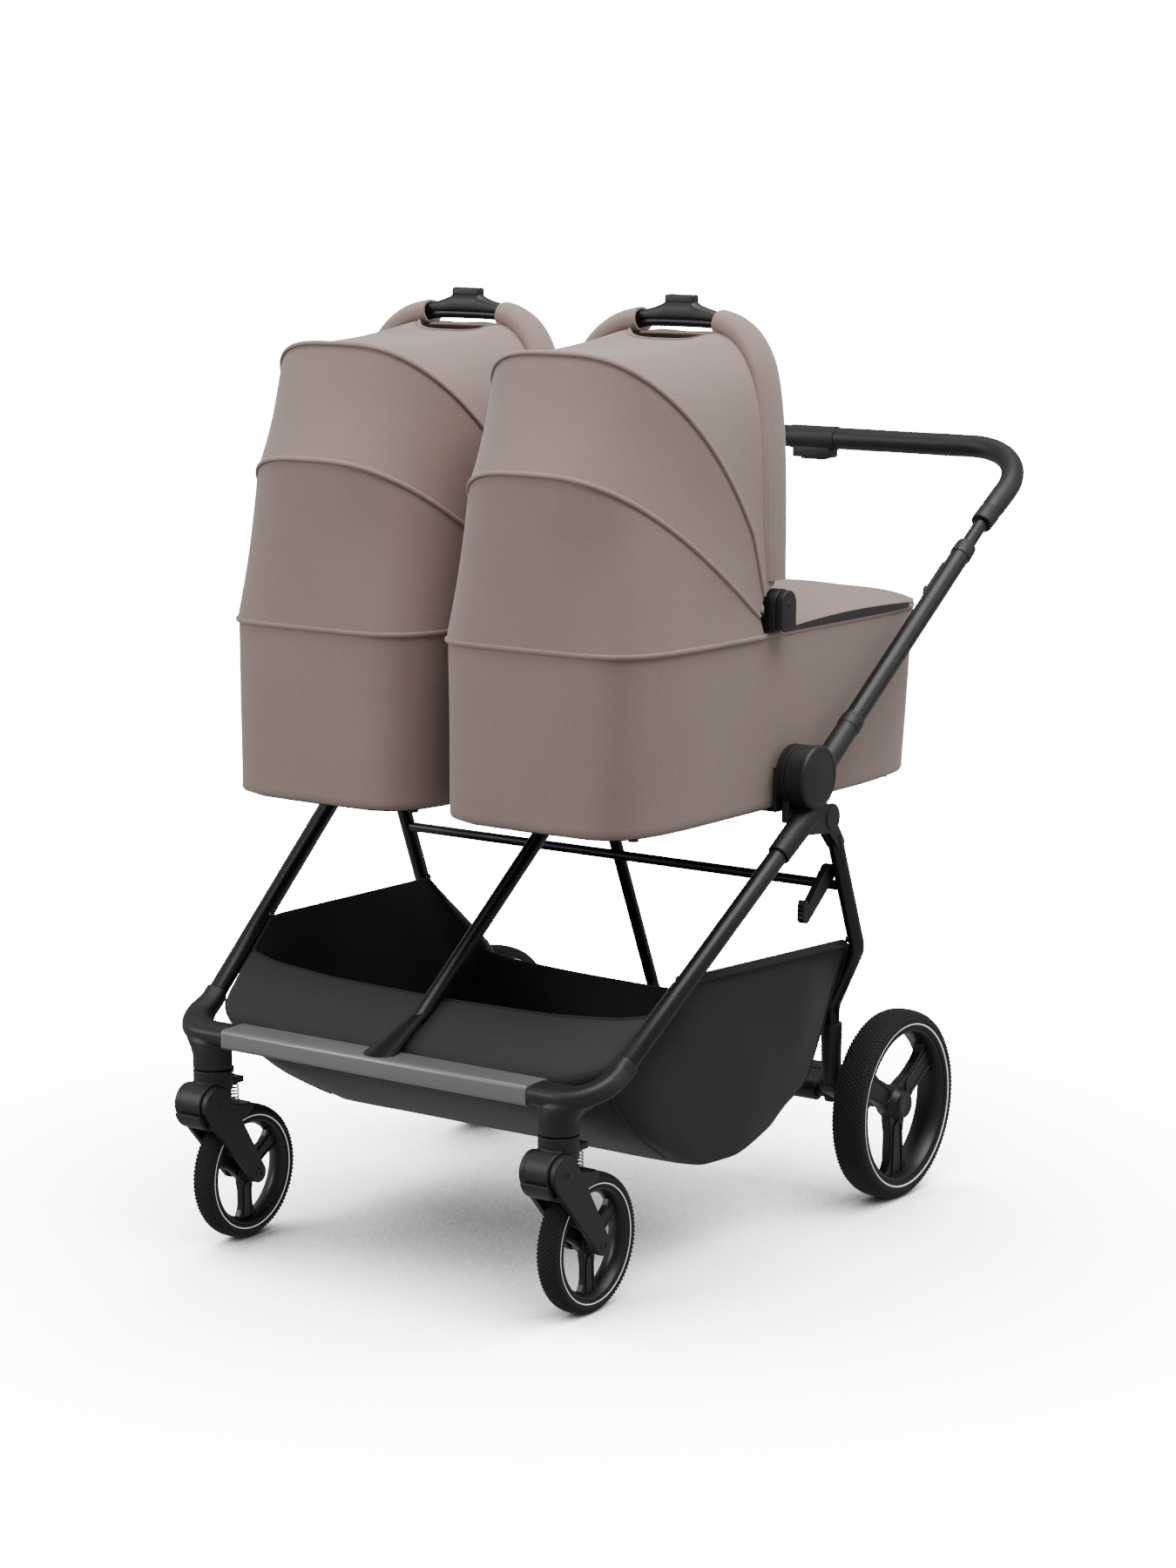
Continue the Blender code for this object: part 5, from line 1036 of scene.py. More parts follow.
# The housing clasps the bar's middle, so the leatherette ends on each side of it.
bm = bmesh.new()
clasp_line = [(x, HANDLE_Y, HANDLE_Z) for x in (-0.0400, -0.0392, 0.0392, 0.0400)]
add_swept(bm, clasp_line, [0.0168, 0.0176, 0.0176, 0.0168], 48, 2.3)
outward(bm)
clasp = finished("handle_housing_clasp", bm, NYLON, 30.0)
fit(clasp, "handle", "plastic")

inward = Vector((0.0, ARM_WAY.z, -ARM_WAY.y))
seam = stitched("handle_grip_seam", [[point + inward * 0.0166 for point in dense[2:-2]]], THREAD)
fit(seam, "handle", "grip")

bm = bmesh.new()
add_block(bm, (-0.0335, HANDLE_Y - 0.0125, HANDLE_Z - 0.0300), (0.0335, HANDLE_Y + 0.0125, HANDLE_Z - 0.0120))
housing = eased(finished("trigger_housing", bm, NYLON), 0.0032, 4)
fit(housing, "handle", "plastic")
bm = bmesh.new()
add_block(bm, (-0.0204, HANDLE_Y - 0.0078, HANDLE_Z - 0.0328), (0.0204, HANDLE_Y + 0.0078, HANDLE_Z - 0.0255))
trigger = eased(finished("fold_trigger_pad", bm, NYLON), 0.0018, 4)
fit(trigger, "trigger", "plastic", "fold_trigger")


# Basket
# A bag of coated polyester hangs between the legs, with a stiffened front panel under the bar.
# Its hem is turned over a tape and stitched, and three rivets on each side hold it to the legs.
def woven_cloth(name, light, dark, thread_mm, sheen, crease_mm):
    """Plain-weave cloth: crossed threads, flecks between the two colours, and a soft sheen."""
    material = bpy.data.materials.new(name)
    material.use_nodes = True
    tree = material.node_tree
    shader = tree.nodes["Principled BSDF"]
    shader.inputs["Roughness"].default_value = 0.86
    shader.inputs["Sheen Weight"].default_value = sheen
    shader.inputs["Sheen Roughness"].default_value = 0.45
    coords = add_node(tree, "ShaderNodeTexCoord").outputs["Object"]
    turned = add_node(tree, "ShaderNodeMapping", {
        "Vector": coords, "Rotation": (0.0, 0.0, math.radians(45.0))})
    bands = 1000.0 / thread_mm / 20.0
    warp = add_node(tree, "ShaderNodeTexWave", {
        "Vector": turned.outputs["Vector"], "Scale": bands * 3.1, "Distortion": 1.6, "Detail": 1.0,
        "Detail Scale": 2.0}, wave_type="BANDS", bands_direction="X")
    weft = add_node(tree, "ShaderNodeTexWave", {
        "Vector": coords, "Scale": bands * 3.1, "Distortion": 1.6, "Detail": 1.0, "Detail Scale": 2.0},
        wave_type="BANDS", bands_direction="Z")
    weave = add_node(tree, "ShaderNodeMath", {0: warp.outputs["Fac"], 1: weft.outputs["Fac"]},
                     operation="MULTIPLY")
    fleck = add_node(tree, "ShaderNodeTexNoise", {
        "Vector": coords, "Scale": 1000.0 / (thread_mm * 2.2), "Detail": 3.0})
    broad = add_node(tree, "ShaderNodeTexNoise", {"Vector": coords, "Scale": 9.0, "Detail": 3.0})
    mixed = add_node(tree, "ShaderNodeMath", {0: fleck.outputs["Fac"], 1: 0.62, 2: 0.0},
                     operation="MULTIPLY_ADD")
    tinted = add_node(tree, "ShaderNodeMath", {0: broad.outputs["Fac"], 1: 0.38, 2: mixed.outputs[0]},
                      operation="MULTIPLY_ADD")
    tone = add_node(tree, "ShaderNodeMixRGB", {
        "Fac": tinted.outputs[0], "Color1": linear(dark), "Color2": linear(light)})
    tree.links.new(tone.outputs["Color"], shader.inputs["Base Color"])
    bump = add_node(tree, "ShaderNodeBump", {
        "Height": weave.outputs[0], "Strength": 0.30, "Distance": 0.00012})
    waves = add_node(tree, "ShaderNodeTexNoise", {
        "Vector": coords, "Scale": 16.0, "Detail": 2.0, "Distortion": 0.6})
    soft = add_node(tree, "ShaderNodeBump", {
        "Height": waves.outputs["Fac"], "Strength": 0.30, "Distance": crease_mm / 1000.0})
    tree.links.new(soft.outputs["Normal"], bump.inputs["Normal"])
    tree.links.new(bump.outputs["Normal"], shader.inputs["Normal"])
    return material


def smooth_between(stations, share):
    """Values between stations on a curve that passes through each of them."""
    place = share * (len(stations) - 1)
    index = min(int(place), len(stations) - 2)
    t = place - index
    before = stations[max(index - 1, 0)]
    near = stations[index]
    far = stations[index + 1]
    after = stations[min(index + 2, len(stations) - 1)]
    return [0.5 * (2 * b + (c - a) * t + (2 * a - 5 * b + 4 * c - d) * t * t
                   + (3 * b - a - 3 * c + d) * t * t * t)
            for a, b, c, d in zip(before, near, far, after)]


def backed(piece, thickness):
    """The cloth given its thickness, as one closed skin."""
    wall = piece.modifiers.new("wall", "SOLIDIFY")
    wall.thickness = thickness
    wall.offset = -1.0
    return made_real(piece, 50.0)


# Polyester coated on its back: near black, with the threads drawn at about twice their 0.5 mm.
BASKET_CLOTH = woven_cloth("coated_polyester_black", "#19191b", "#0d0d0f", 1.1, 0.12, 1.6)
# The stiffened front panel is a slightly paler, tightly woven polyester.
PANEL_CLOTH = woven_cloth("coated_polyester_charcoal", "#2a2829", "#1d1b1c", 1.1, 0.16, 0.9)
# One half of the bag, from the middle of its front round to the middle of its back. Each column
# runs down from the hem to the edge of the floor; the other half is its mirror.
FRONT_EAR = bare_tube_points(1.0, 0.420) - Vector((0.0136, 0.0, 0.0))
REAR_EAR = Vector((REAR_LEG_X - 0.0116, rear_leg_y(0.402), 0.402))
LOW_EAR = Vector((0.2960, 0.1095, 0.289))
BASKET_COLUMNS = (
    ((0.000, -0.389, 0.360), (0.000, -0.440, 0.335), (0.000, -0.486, 0.307), (0.000, -0.462, 0.262),
     (0.000, -0.372, 0.205), (0.000, -0.262, 0.150)),
    ((0.180, -0.389, 0.363), (0.180, -0.440, 0.337), (0.178, -0.486, 0.307), (0.176, -0.462, 0.262),
     (0.170, -0.372, 0.205), (0.150, -0.262, 0.150)),
    ((0.285, -0.387, 0.371), (0.282, -0.438, 0.342), (0.272, -0.482, 0.308), (0.268, -0.452, 0.262),
     (0.262, -0.368, 0.205), (0.235, -0.258, 0.148)),
    ((0.3335, -0.380, 0.380), (0.3295, -0.420, 0.352), (0.320, -0.456, 0.318), (0.311, -0.425, 0.268),
     (0.303, -0.358, 0.210), (0.283, -0.250, 0.146)),
    ((0.3370, -0.353, 0.400), (0.336, -0.370, 0.345), (0.331, -0.382, 0.295), (0.320, -0.370, 0.245),
     (0.309, -0.320, 0.192), (0.291, -0.226, 0.139)),
    (tuple(FRONT_EAR), (0.344, -0.312, 0.360), (0.340, -0.306, 0.305), (0.327, -0.296, 0.245),
     (0.312, -0.268, 0.182), (0.296, -0.200, 0.1325)),
    (tuple(FRONT_EAR.lerp(REAR_EAR, 0.55)), (0.352, -0.116, 0.355), (0.345, -0.118, 0.295),
     (0.331, -0.120, 0.230), (0.314, -0.120, 0.170), (0.300, -0.120, 0.1285)),
    (tuple(FRONT_EAR.lerp(REAR_EAR, 0.80)), (0.353, -0.020, 0.348), (0.343, -0.020, 0.290),
     (0.328, -0.020, 0.232), (0.314, -0.020, 0.183), (0.300, -0.028, 0.150)),
    (tuple(REAR_EAR), (0.345, 0.058, 0.345), (0.328, 0.060, 0.290), (0.317, 0.056, 0.240),
     (0.308, 0.044, 0.196), (0.290, 0.000, 0.160)),
    ((0.3340, 0.0815, 0.345), (0.325, 0.078, 0.310), (0.316, 0.072, 0.272), (0.305, 0.060, 0.230),
     (0.295, 0.042, 0.189), (0.275, 0.000, 0.159)),
    (tuple(LOW_EAR), (0.294, 0.100, 0.264), (0.289, 0.086, 0.241), (0.281, 0.066, 0.212),
     (0.269, 0.039, 0.181), (0.242, -0.002, 0.156)),
    ((0.245, 0.100, 0.285), (0.246, 0.094, 0.262), (0.244, 0.082, 0.238), (0.239, 0.062, 0.208),
     (0.230, 0.036, 0.178), (0.205, -0.004, 0.154)),
    ((0.130, 0.104, 0.279), (0.130, 0.098, 0.257), (0.130, 0.085, 0.234), (0.128, 0.064, 0.205),
     (0.122, 0.037, 0.176), (0.108, -0.004, 0.152)),
    ((0.000, 0.107, 0.276), (0.000, 0.100, 0.254), (0.000, 0.087, 0.232), (0.000, 0.066, 0.204),
     (0.000, 0.038, 0.175), (0.000, -0.004, 0.151)),
)
STEPS_BETWEEN = (9, 6, 5, 5, 5, 9, 6, 6, 5, 5, 5, 6, 8)
FRONT_PANEL_STEPS = sum(STEPS_BETWEEN[:3])
FRONT_PANEL_ROWS = 15
BASKET_ROWS = 36
EARS = [(Vector((side * ear.x, ear.y, ear.z)), on_rear) for side in (-1.0, 1.0)
        for ear, on_rear in ((FRONT_EAR, False), (REAR_EAR, True), (LOW_EAR, True))]


def basket_row(share):
    """One line round the bag, straight between its columns and eased a little at each."""
    stops = [Vector(smooth_between(column, share)) for column in BASKET_COLUMNS]
    half = []
    for near, far, steps in zip(stops, stops[1:], STEPS_BETWEEN):
        half += [near.lerp(far, step / steps) for step in range(steps)]
    half.append(stops[-1])
    line = half + [Vector((-point.x, point.y, point.z)) for point in half[-2:0:-1]]
    for turn in range(1 + round(3 * share)):
        line = [(line[index - 1] + 2 * line[index] + line[(index + 1) % len(line)]) / 4
                for index in range(len(line))]
    return line


rows = [basket_row(row / (BASKET_ROWS - 1)) for row in range(BASKET_ROWS)]
around = len(rows[0])
for row, line in enumerate(rows):
    share = row / (BASKET_ROWS - 1)
    free = min(1.0, share * 5.0) * (1.0 - 0.5 * share)
    for point in line:
        wave = noise.noise(Vector((point.x * 6.0, point.y * 7.0, point.z * 4.0)))
        pull = math.sin(28.0 * point.y + 16.0 * point.z + 3.0 * noise.noise(point * 3.0))
        inward = Vector((-point.x, -0.20 - point.y, 0.0)).normalized()
        point += inward * (0.0036 * wave + 0.0010 * pull) * free
bm = bmesh.new()
verts = [[bm.verts.new(point) for point in line] for line in rows]
middle = Vector((0.0, -0.125, 0.1275))
for inset in (0.84, 0.66, 0.46, 0.24):
    ring = []
    for point in rows[-1]:
        place = middle.lerp(point, inset)
        place.z = middle.z + (point.z - middle.z) * inset ** 2 + 0.0022 * noise.noise(place * 10.0)
        ring.append(bm.verts.new(place))
    verts.append(ring)
for row, (high, low) in enumerate(zip(verts, verts[1:])):
    for step in range(around):
        after = (step + 1) % around
        face = bm.faces.new((low[step], low[after], high[after], high[step]))
        if row < FRONT_PANEL_ROWS and min(step, around - 1 - step) < FRONT_PANEL_STEPS:
            face.material_index = 1
bm.faces.new(verts[-1][::-1])
basket = finished("basket_bag", bm, BASKET_CLOTH, 60.0)
basket.data.materials.append(PANEL_CLOTH)
backed(basket, 0.0018)
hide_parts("basket")
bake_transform(basket)


def beside_wall(line_row, step, lift):
    """A place just proud of the bag's outer face, for a seam or a stitch."""
    here = rows[line_row][step % around]
    along = rows[line_row][(step + 1) % around] - rows[line_row][step - 1]
    down = rows[line_row + 1][step % around] - here
    return here + down.cross(along).normalized() * -lift


bm = bmesh.new()
hem_line = [point + Vector((0.0, 0.0, -0.0042)) for point in rows[0]]
add_swept(bm, hem_line, [(0.0021, 0.0062)] * len(hem_line), 12, 2.6, closed=True)
# Piped seams run down the bag where its side panels meet the front, the floor and the back.
for side in (-1, 1):
    for column, first, last in ((3, 12, 34), (8, 1, 34)):
        step = side * sum(STEPS_BETWEEN[:column])
        run = [beside_wall(row, step, 0.0) for row in range(first, last)]
        add_swept(bm, run, [0.0017] * len(run), 10)
outward(bm)
hem = finished("basket_hem_tape", bm, BASKET_CLOTH, 60.0)
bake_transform(hem)

# The top hem of the front panel is sewn down; its stitches show on the outside.
stitch_line = [beside_wall(2, step, 0.0014) for step in range(-FRONT_PANEL_STEPS + 1, FRONT_PANEL_STEPS)]
seam = stitched("basket_front_stitches", [stitch_line], THREAD, spacing=0.0046, radius=0.00045,
                length=0.0034)
fit(seam, "chassis", "basket_fabric")

for suffix, on_rear, body in (("front", False, "chassis"), ("rear", True, "rear_frame")):
    bm = bmesh.new()
    for ear, is_rear in EARS:
        if is_rear is on_rear:
            side = math.copysign(1.0, ear.x)
            profile = ((0.0, 0.0022), (0.0048, 0.0022), (0.0048, -0.0016), (0.0034, -0.0034), (0.0, -0.0038))
            add_turned(bm, [(r, side * out) for r, out in profile], tuple(ear), 24)
    outward(bm)
    rivets = finished("basket_rivets_" + suffix, bm, BLACK_STEEL, 30.0)
    fit(rivets, body, "spring_steel")


# Carrycot tubs
# A rigid shell is covered in taupe cloth, sewn round the rim with a rolled binding and drawn
# tight at the rounded corners. Inside are a pale lining and a thin mattress. A small moulded
# block on each side of the rim carries the hood's hinge.
# Taupe melange polyester: two close shades of thread give it faint flecks.
TAUPE_CLOTH = woven_cloth("taupe_melange_polyester", "#98837a", "#7c6b63", 1.1, 0.30, 0.7)
# The lining is a brushed pale grey cotton, woven loosely.
LINING = woven_cloth("brushed_cotton_lining", "#b7b4b0", "#a29e9a", 1.4, 0.35, 1.4)
COT_X = 0.177
RIM_HALF = 0.170
LOW_HALF = 0.165
TUB_SQUARE = 6.0
COT_FRONT_Y = AXLE_Y - 0.642
COT_REAR_Y = AXLE_Y + 0.124
COT_REAR_LOW_Y = AXLE_Y + 0.106
COT_LOW_Z = 0.607
COT_RIM_Z = 0.843
HINGE_Y = AXLE_Y - 0.3153
HINGE_Z = 0.8845
BLOCK_HALF = 0.0195
BLOCK_THICK = 0.0053
BLOCK_PROUD = 0.0170
COT_LEVEL = (Matrix.Translation((0.0, HUB_Y, COT_LOW_Z)) @ Matrix.Rotation(-math.radians(1.1), 4, "X")
             @ Matrix.Translation((0.0, -HUB_Y, -COT_LOW_Z)))


def cot_matrix(side):
    """Places a right-hand cot's piece, or its mirror image on the left."""
    return Matrix.Diagonal((side, 1.0, 1.0, 1.0)) @ COT_LEVEL


def cot_piece(name, bm, material, side, sharp=38.0):
    """A piece drawn for a level right-hand cot, put where its own cot is."""
    bmesh.ops.transform(bm, matrix=cot_matrix(side), verts=bm.verts)
    outward(bm)
    return finished(name, bm, material, sharp)


def tub_point(angle, share, inset=0.0):
    """A point on the tub, with share 0 at its floor and 1 at its rim."""
    across, along = squircle(angle, TUB_SQUARE)
    half = LOW_HALF + (RIM_HALF - LOW_HALF) * share - inset
    rear = COT_REAR_LOW_Y + (COT_REAR_Y - COT_REAR_LOW_Y) * share
    y = (COT_FRONT_Y + rear) / 2 + ((rear - COT_FRONT_Y) / 2 - inset) * along
    return Vector((COT_X + half * across, y, COT_LOW_Z + (COT_RIM_Z - COT_LOW_Z) * share))


def around_tub(count=200):
    """Even steps round the tub's outline, as angles."""
    fine = [tub_point(2 * math.pi * step / 4000, 1.0) for step in range(4001)]
    lengths = [0.0]
    for near, far in zip(fine, fine[1:]):
        lengths.append(lengths[-1] + (far - near).length)
    angles = []
    index = 0
    for step in range(count):
        goal = lengths[-1] * step / count
        while lengths[index + 1] < goal:
            index += 1
        part = (goal - lengths[index]) / max(1e-9, lengths[index + 1] - lengths[index])
        angles.append(2 * math.pi * (index + part) / 4000)
    return angles


TUB_ANGLES = around_tub()
for side, suffix in SIDES:
    bm = bmesh.new()
    wall_shares = (0.06, 0.12, 0.2, 0.3, 0.4, 0.5, 0.6, 0.7, 0.8, 0.9, 0.96)
    levels = ((0.0, 0.0150), (0.003, 0.0070), (0.012, 0.0022), (0.028, 0.0004),
              *((share, 0.0) for share in wall_shares), (0.985, 0.0006), (1.0, 0.0030), (1.0, 0.0060),
              (0.985, 0.0080), (0.9, 0.0080), (0.6, 0.0080), (0.3, 0.0080), (0.06, 0.0080), (0.045, 0.0200))
    rows = []
    for place, (share, inset) in enumerate(levels):
        row = []
        for angle in TUB_ANGLES:
            point = tub_point(angle, share, inset)
            if 3 < place < 15:
                out = (point - Vector((COT_X, -0.056, point.z))).normalized()
                corner = abs(math.sin(2 * angle)) ** 3
                slack = noise.noise(Vector((point.x * 6.0 * side, point.y * 6.0, point.z * 8.0)))
                draw = noise.noise(Vector((point.x * 22.0, point.y * 22.0 + side, point.z * 4.0))) * corner
                belly = math.sin(math.pi * share)
                point += out * (0.0010 * slack * belly + 0.0007 * draw - 0.0008)
            row.append(bm.verts.new(point))
        rows.append(row)
    join_rows(bm, rows, caps=True)
    tub = cot_piece("cot_cover_" + suffix, bm, TAUPE_CLOTH, side, 60.0)
    tub.data.materials.append(LINING)
    first_inner_band = 18
    for index, polygon in enumerate(tub.data.polygons):
        band = index // len(TUB_ANGLES)
        lined = first_inner_band <= band < len(levels) - 1 or index == len(tub.data.polygons) - 1
        polygon.material_index = 1 if lined else 0
    fit(tub, "cot_" + suffix, "cot_fabric", "cot_tub_" + suffix)

    bm = bmesh.new()
    line = [tub_point(angle, 1.0, 0.0016) + Vector((0.0, 0.0, -0.0006)) for angle in TUB_ANGLES]
    add_swept(bm, line, [(0.0030, 0.0036)] * len(line), 12, closed=True)
    binding = cot_piece("cot_rim_binding_" + suffix, bm, TAUPE_CLOTH, side, 60.0)
    fit(binding, "cot_" + suffix, "cot_fabric")

    bm = bmesh.new()
    for wall_side in (-1.0, 1.0):
        wall = COT_X + wall_side * RIM_HALF
        outline = [(HINGE_Y - BLOCK_HALF, COT_RIM_Z + 0.0060), (HINGE_Y + BLOCK_HALF, COT_RIM_Z + 0.0060),
                   (HINGE_Y + BLOCK_HALF, HINGE_Z + 0.002)]
        for step in range(13):
            angle = math.radians(8.0 + 164.0 * step / 12)
            outline.append((HINGE_Y + BLOCK_HALF * math.cos(angle), HINGE_Z + BLOCK_HALF * math.sin(angle)))
        outline.append((HINGE_Y - BLOCK_HALF, HINGE_Z + 0.002))
        # Only the outer block has room to stand proud of its wall, in two steps.
        proud = BLOCK_PROUD if wall_side > 0 else 0.0
        add_plate(bm, outline, wall - BLOCK_THICK, wall + BLOCK_THICK + proud * 0.4)
        if proud:
            cap = [(HINGE_Y + (y - HINGE_Y) * 0.9, HINGE_Z + (z - HINGE_Z) * 0.93) for y, z in outline]
            add_plate(bm, cap, wall + BLOCK_THICK + proud * 0.4, wall + BLOCK_THICK + proud)
        face = proud + BLOCK_THICK
        button = ((0.0, face - 0.002), (0.0048, face - 0.002), (0.0048, face + 0.0004),
                  (0.0030, face + 0.0012), (0.0, face + 0.0006))
        add_turned(bm, [(r, wall_side * out) for r, out in button], (wall, HINGE_Y, HINGE_Z), 32)
        add_turned(bm, [(0.0, -wall_side * 0.0190), (0.0029, -wall_side * 0.0190), (0.0029, 0.0), (0.0, 0.0)],
                   (wall, HINGE_Y, HINGE_Z), 20)
    hinges = cot_piece("cot_hinge_blocks_" + suffix, bm, NYLON, side, 30.0)
    eased(hinges, 0.0009, 3)
    fit(hinges, "cot_" + suffix, "plastic")

    bm = bmesh.new()
    pad = []
    for inset, z in ((0.030, 0.6165), (0.020, 0.6180), (0.0135, 0.6240), (0.0120, 0.6310), (0.0150, 0.6380),
                     (0.0240, 0.6420), (0.0480, 0.6445), (0.0900, 0.6460), (0.1300, 0.6466)):
        row = []
        for angle in TUB_ANGLES[::2]:
            point = tub_point(angle, 0.0, inset)
            point.z = z + 0.0012 * noise.noise(Vector((point.x * 14.0, point.y * 10.0, side)))
            row.append(bm.verts.new(point))
        pad.append(row)
    join_rows(bm, pad, caps=True)
    mattress = cot_piece("cot_mattress_" + suffix, bm, LINING, side, 60.0)
    fit(mattress, "cot_" + suffix, "cot_fabric")

    for slot_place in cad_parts["cot_base_" + suffix].material_slots:
        slot_place.material = NYLON


# Aprons
# A padded cover of the same cloth is drawn over the foot half of each tub. It is crowned, pulls
# into folds that fan out from the hinge blocks, and shows a black zip tape beside each block.
for side, suffix in SIDES:
    bm = bmesh.new()
    rows = []
    front_y = HINGE_Y + 0.030
    back_y = COT_REAR_Y - 0.0115
    for row in range(73):
        share = row / 72
        y = front_y + (back_y - front_y) * share
        middle_y = (COT_FRONT_Y + COT_REAR_Y) / 2
        reach = min(0.985, max(0.0, (y - middle_y) / ((COT_REAR_Y - COT_FRONT_Y) / 2)))
        half = (RIM_HALF - 0.0008) * (1.0 - reach ** 6) ** (1 / 6)
        line = []
        for step in range(61):
            across = math.sin(math.pi / 2 * (-1.0 + 2.0 * step / 60))
            x = half * across
            crown = (0.030 * (1 - abs(across) ** 4) * (1.0 - 0.35 * share)
                     * (1 - max(0.0, share - 0.8) * 2.5))
            fold = 0.0
            for block in (-1.0, 1.0):
                away = Vector((x - block * RIM_HALF, y - HINGE_Y))
                turn = math.atan2(away.y, -block * away.x)
                near = math.exp(-((away.length - 0.100) / 0.085) ** 2)
                waver = noise.noise(Vector((away.x * 9, away.y * 9, side)))
                fold += near * math.sin(turn * 15.0 + 2.2 * waver)
            along_fold = math.sin(x * 74.0 + 1.8 * noise.noise(Vector((x * 8, y * 5, 3.0 + side))))
            lift = (0.0017 * fold + 0.0010 * along_fold * (1 - share)
                    + 0.0016 * noise.noise(Vector((x * 13, y * 10, side))))
            rim_fade = (min(1.0, (1 - abs(across)) * 7.0) * min(1.0, share * 14 + 0.25)
                        * min(1.0, (1 - share) * 9))
            line.append(Vector((COT_X + x, y, COT_RIM_Z + 0.0060 + crown + lift * rim_fade)))
        rows.append(line)
    verts = [[bm.verts.new(point) for point in line] for line in rows]
    join_lines(bm, verts)
    apron = cot_piece("cot_apron_cover_" + suffix, bm, TAUPE_CLOTH, side, 60.0)
    if apron.data.polygons[len(apron.data.polygons) // 2].normal.z < 0:
        apron.data.flip_normals()
    backed(apron, 0.0056)
    fit(apron, "cot_" + suffix, "cot_fabric", "cot_apron_" + suffix)

    bm = bmesh.new()
    edge = [rows[0][step] + Vector((0.0, -0.0006, -0.0026)) for step in range(61)]
    add_swept(bm, edge, 0.0036, 14)
    roll = cot_piece("cot_apron_edge_" + suffix, bm, TAUPE_CLOTH, side, 60.0)
    fit(roll, "cot_" + suffix, "cot_fabric")

    bm = bmesh.new()
    for block in (-1.0, 1.0):
        upper = []
        lower = []
        for step in range(33):
            share = step / 32
            y = HINGE_Y + 0.020 + 0.345 * share
            wide = 0.0108 * math.sin(math.pi * min(1.0, 0.05 + 0.80 * share)) ** 0.8
            middle_y = (COT_FRONT_Y + COT_REAR_Y) / 2
            round_in = (1.0 - abs((y - middle_y) / (COT_REAR_Y - middle_y)) ** 6.0) ** (1.0 / 6.0)
            upper.append((COT_X + block * (RIM_HALF * round_in + 0.0012), y, COT_RIM_Z + 0.0016 + wide))
            lower.append((COT_X + block * (RIM_HALF * round_in + 0.0018), y, COT_RIM_Z + 0.0006))
        top = [bm.verts.new(point) for point in upper]
        low = [bm.verts.new(point) for point in lower]
        inner_top = [bm.verts.new((x - block * 0.0026, y, z - 0.0002)) for x, y, z in upper]
        inner_low = [bm.verts.new((x - block * 0.0026, y, z)) for x, y, z in lower]
        for step in range(32):
            bm.faces.new((low[step], low[step + 1], top[step + 1], top[step]))
            bm.faces.new((inner_low[step], inner_top[step], inner_top[step + 1], inner_low[step + 1]))
            bm.faces.new((top[step], top[step + 1], inner_top[step + 1], inner_top[step]))
            bm.faces.new((low[step], inner_low[step], inner_low[step + 1], low[step + 1]))
        bm.faces.new((low[0], top[0], inner_top[0], inner_low[0]))
        bm.faces.new((low[-1], inner_low[-1], inner_top[-1], top[-1]))
    tape = cot_piece("cot_zip_tape_" + suffix, bm, BASKET_CLOTH, side, 60.0)
    fit(tape, "cot_" + suffix, "cot_fabric")


# Hoods
# Three panels of the taupe cloth are stretched over two sprung ribs. A rolled edge is sewn over
# each rib and overhangs the panel below it, and the rear panel has a vent under the grip.
HOOD_HALF = 0.170
FRONT_ANGLE = math.radians(29.0)
MIDDLE_ANGLE = math.radians(51.0)
HOOP_ANGLE = math.radians(94.0)
HOOD_ARCHES = {
    "front": (FRONT_ANGLE, 0.375, 3.0),
    "middle": (MIDDLE_ANGLE, 0.426, 3.3),
    "rear": (HOOP_ANGLE, 0.3540, 4.0),
}
HOOD_STEPS = 96


def hood_point(across, out, angle):
    """A point in the plane that leans at that angle from the hoods' hinge."""
    return Vector((COT_X + across, HINGE_Y - out * math.cos(angle), HINGE_Z + out * math.sin(angle)))


def even(points, count):
    """The same line in even steps."""
    lengths = [0.0]
    for near, far in zip(points, points[1:]):
        lengths.append(lengths[-1] + (far - near).length)
    result = []
    index = 0
    for step in range(count + 1):
        goal = lengths[-1] * step / count
        while index < len(points) - 2 and lengths[index + 1] < goal:
            index += 1
        part = (goal - lengths[index]) / max(1e-9, lengths[index + 1] - lengths[index])
        result.append(points[index].lerp(points[index + 1], min(1.0, part)))
    return result


def hood_arch(name, half=HOOD_HALF, start=0.026, count=HOOD_STEPS):
    """The line over a hood along one of its arches, from the outer hinge to the inner one."""
    angle, reach, power = HOOD_ARCHES[name]
    first = math.asin((0.038 / reach) ** (power / 2))
    points = [hood_point(half, start, angle)] if start < 0.037 else []
    for step in range(401):
        across, out = squircle(first + (math.pi - 2 * first) * step / 400, power)
        points.append(hood_point(across * half, out * reach, angle))
    if start < 0.037:
        points.append(hood_point(-half, start, angle))
    # The cloth's seams leave the ribs' planes on the sides: they sink ahead of the hinge block,
    # and the middle seam bulges up above it.
    for point in points:
        along = min(1.0, math.hypot(point.y - HINGE_Y, point.z - HINGE_Z) / reach)
        shift = 0.0
        if name == "front":
            shift = -0.034 * (1.0 - along) ** 1.3
        elif name == "middle":
            shift = 0.024 * math.sin(math.pi * along) - 0.024 * max(0.0, 1.0 - along / 0.25)
        point.y += shift * math.sin(angle)
        point.z += shift * math.cos(angle)
    return even(points, count)


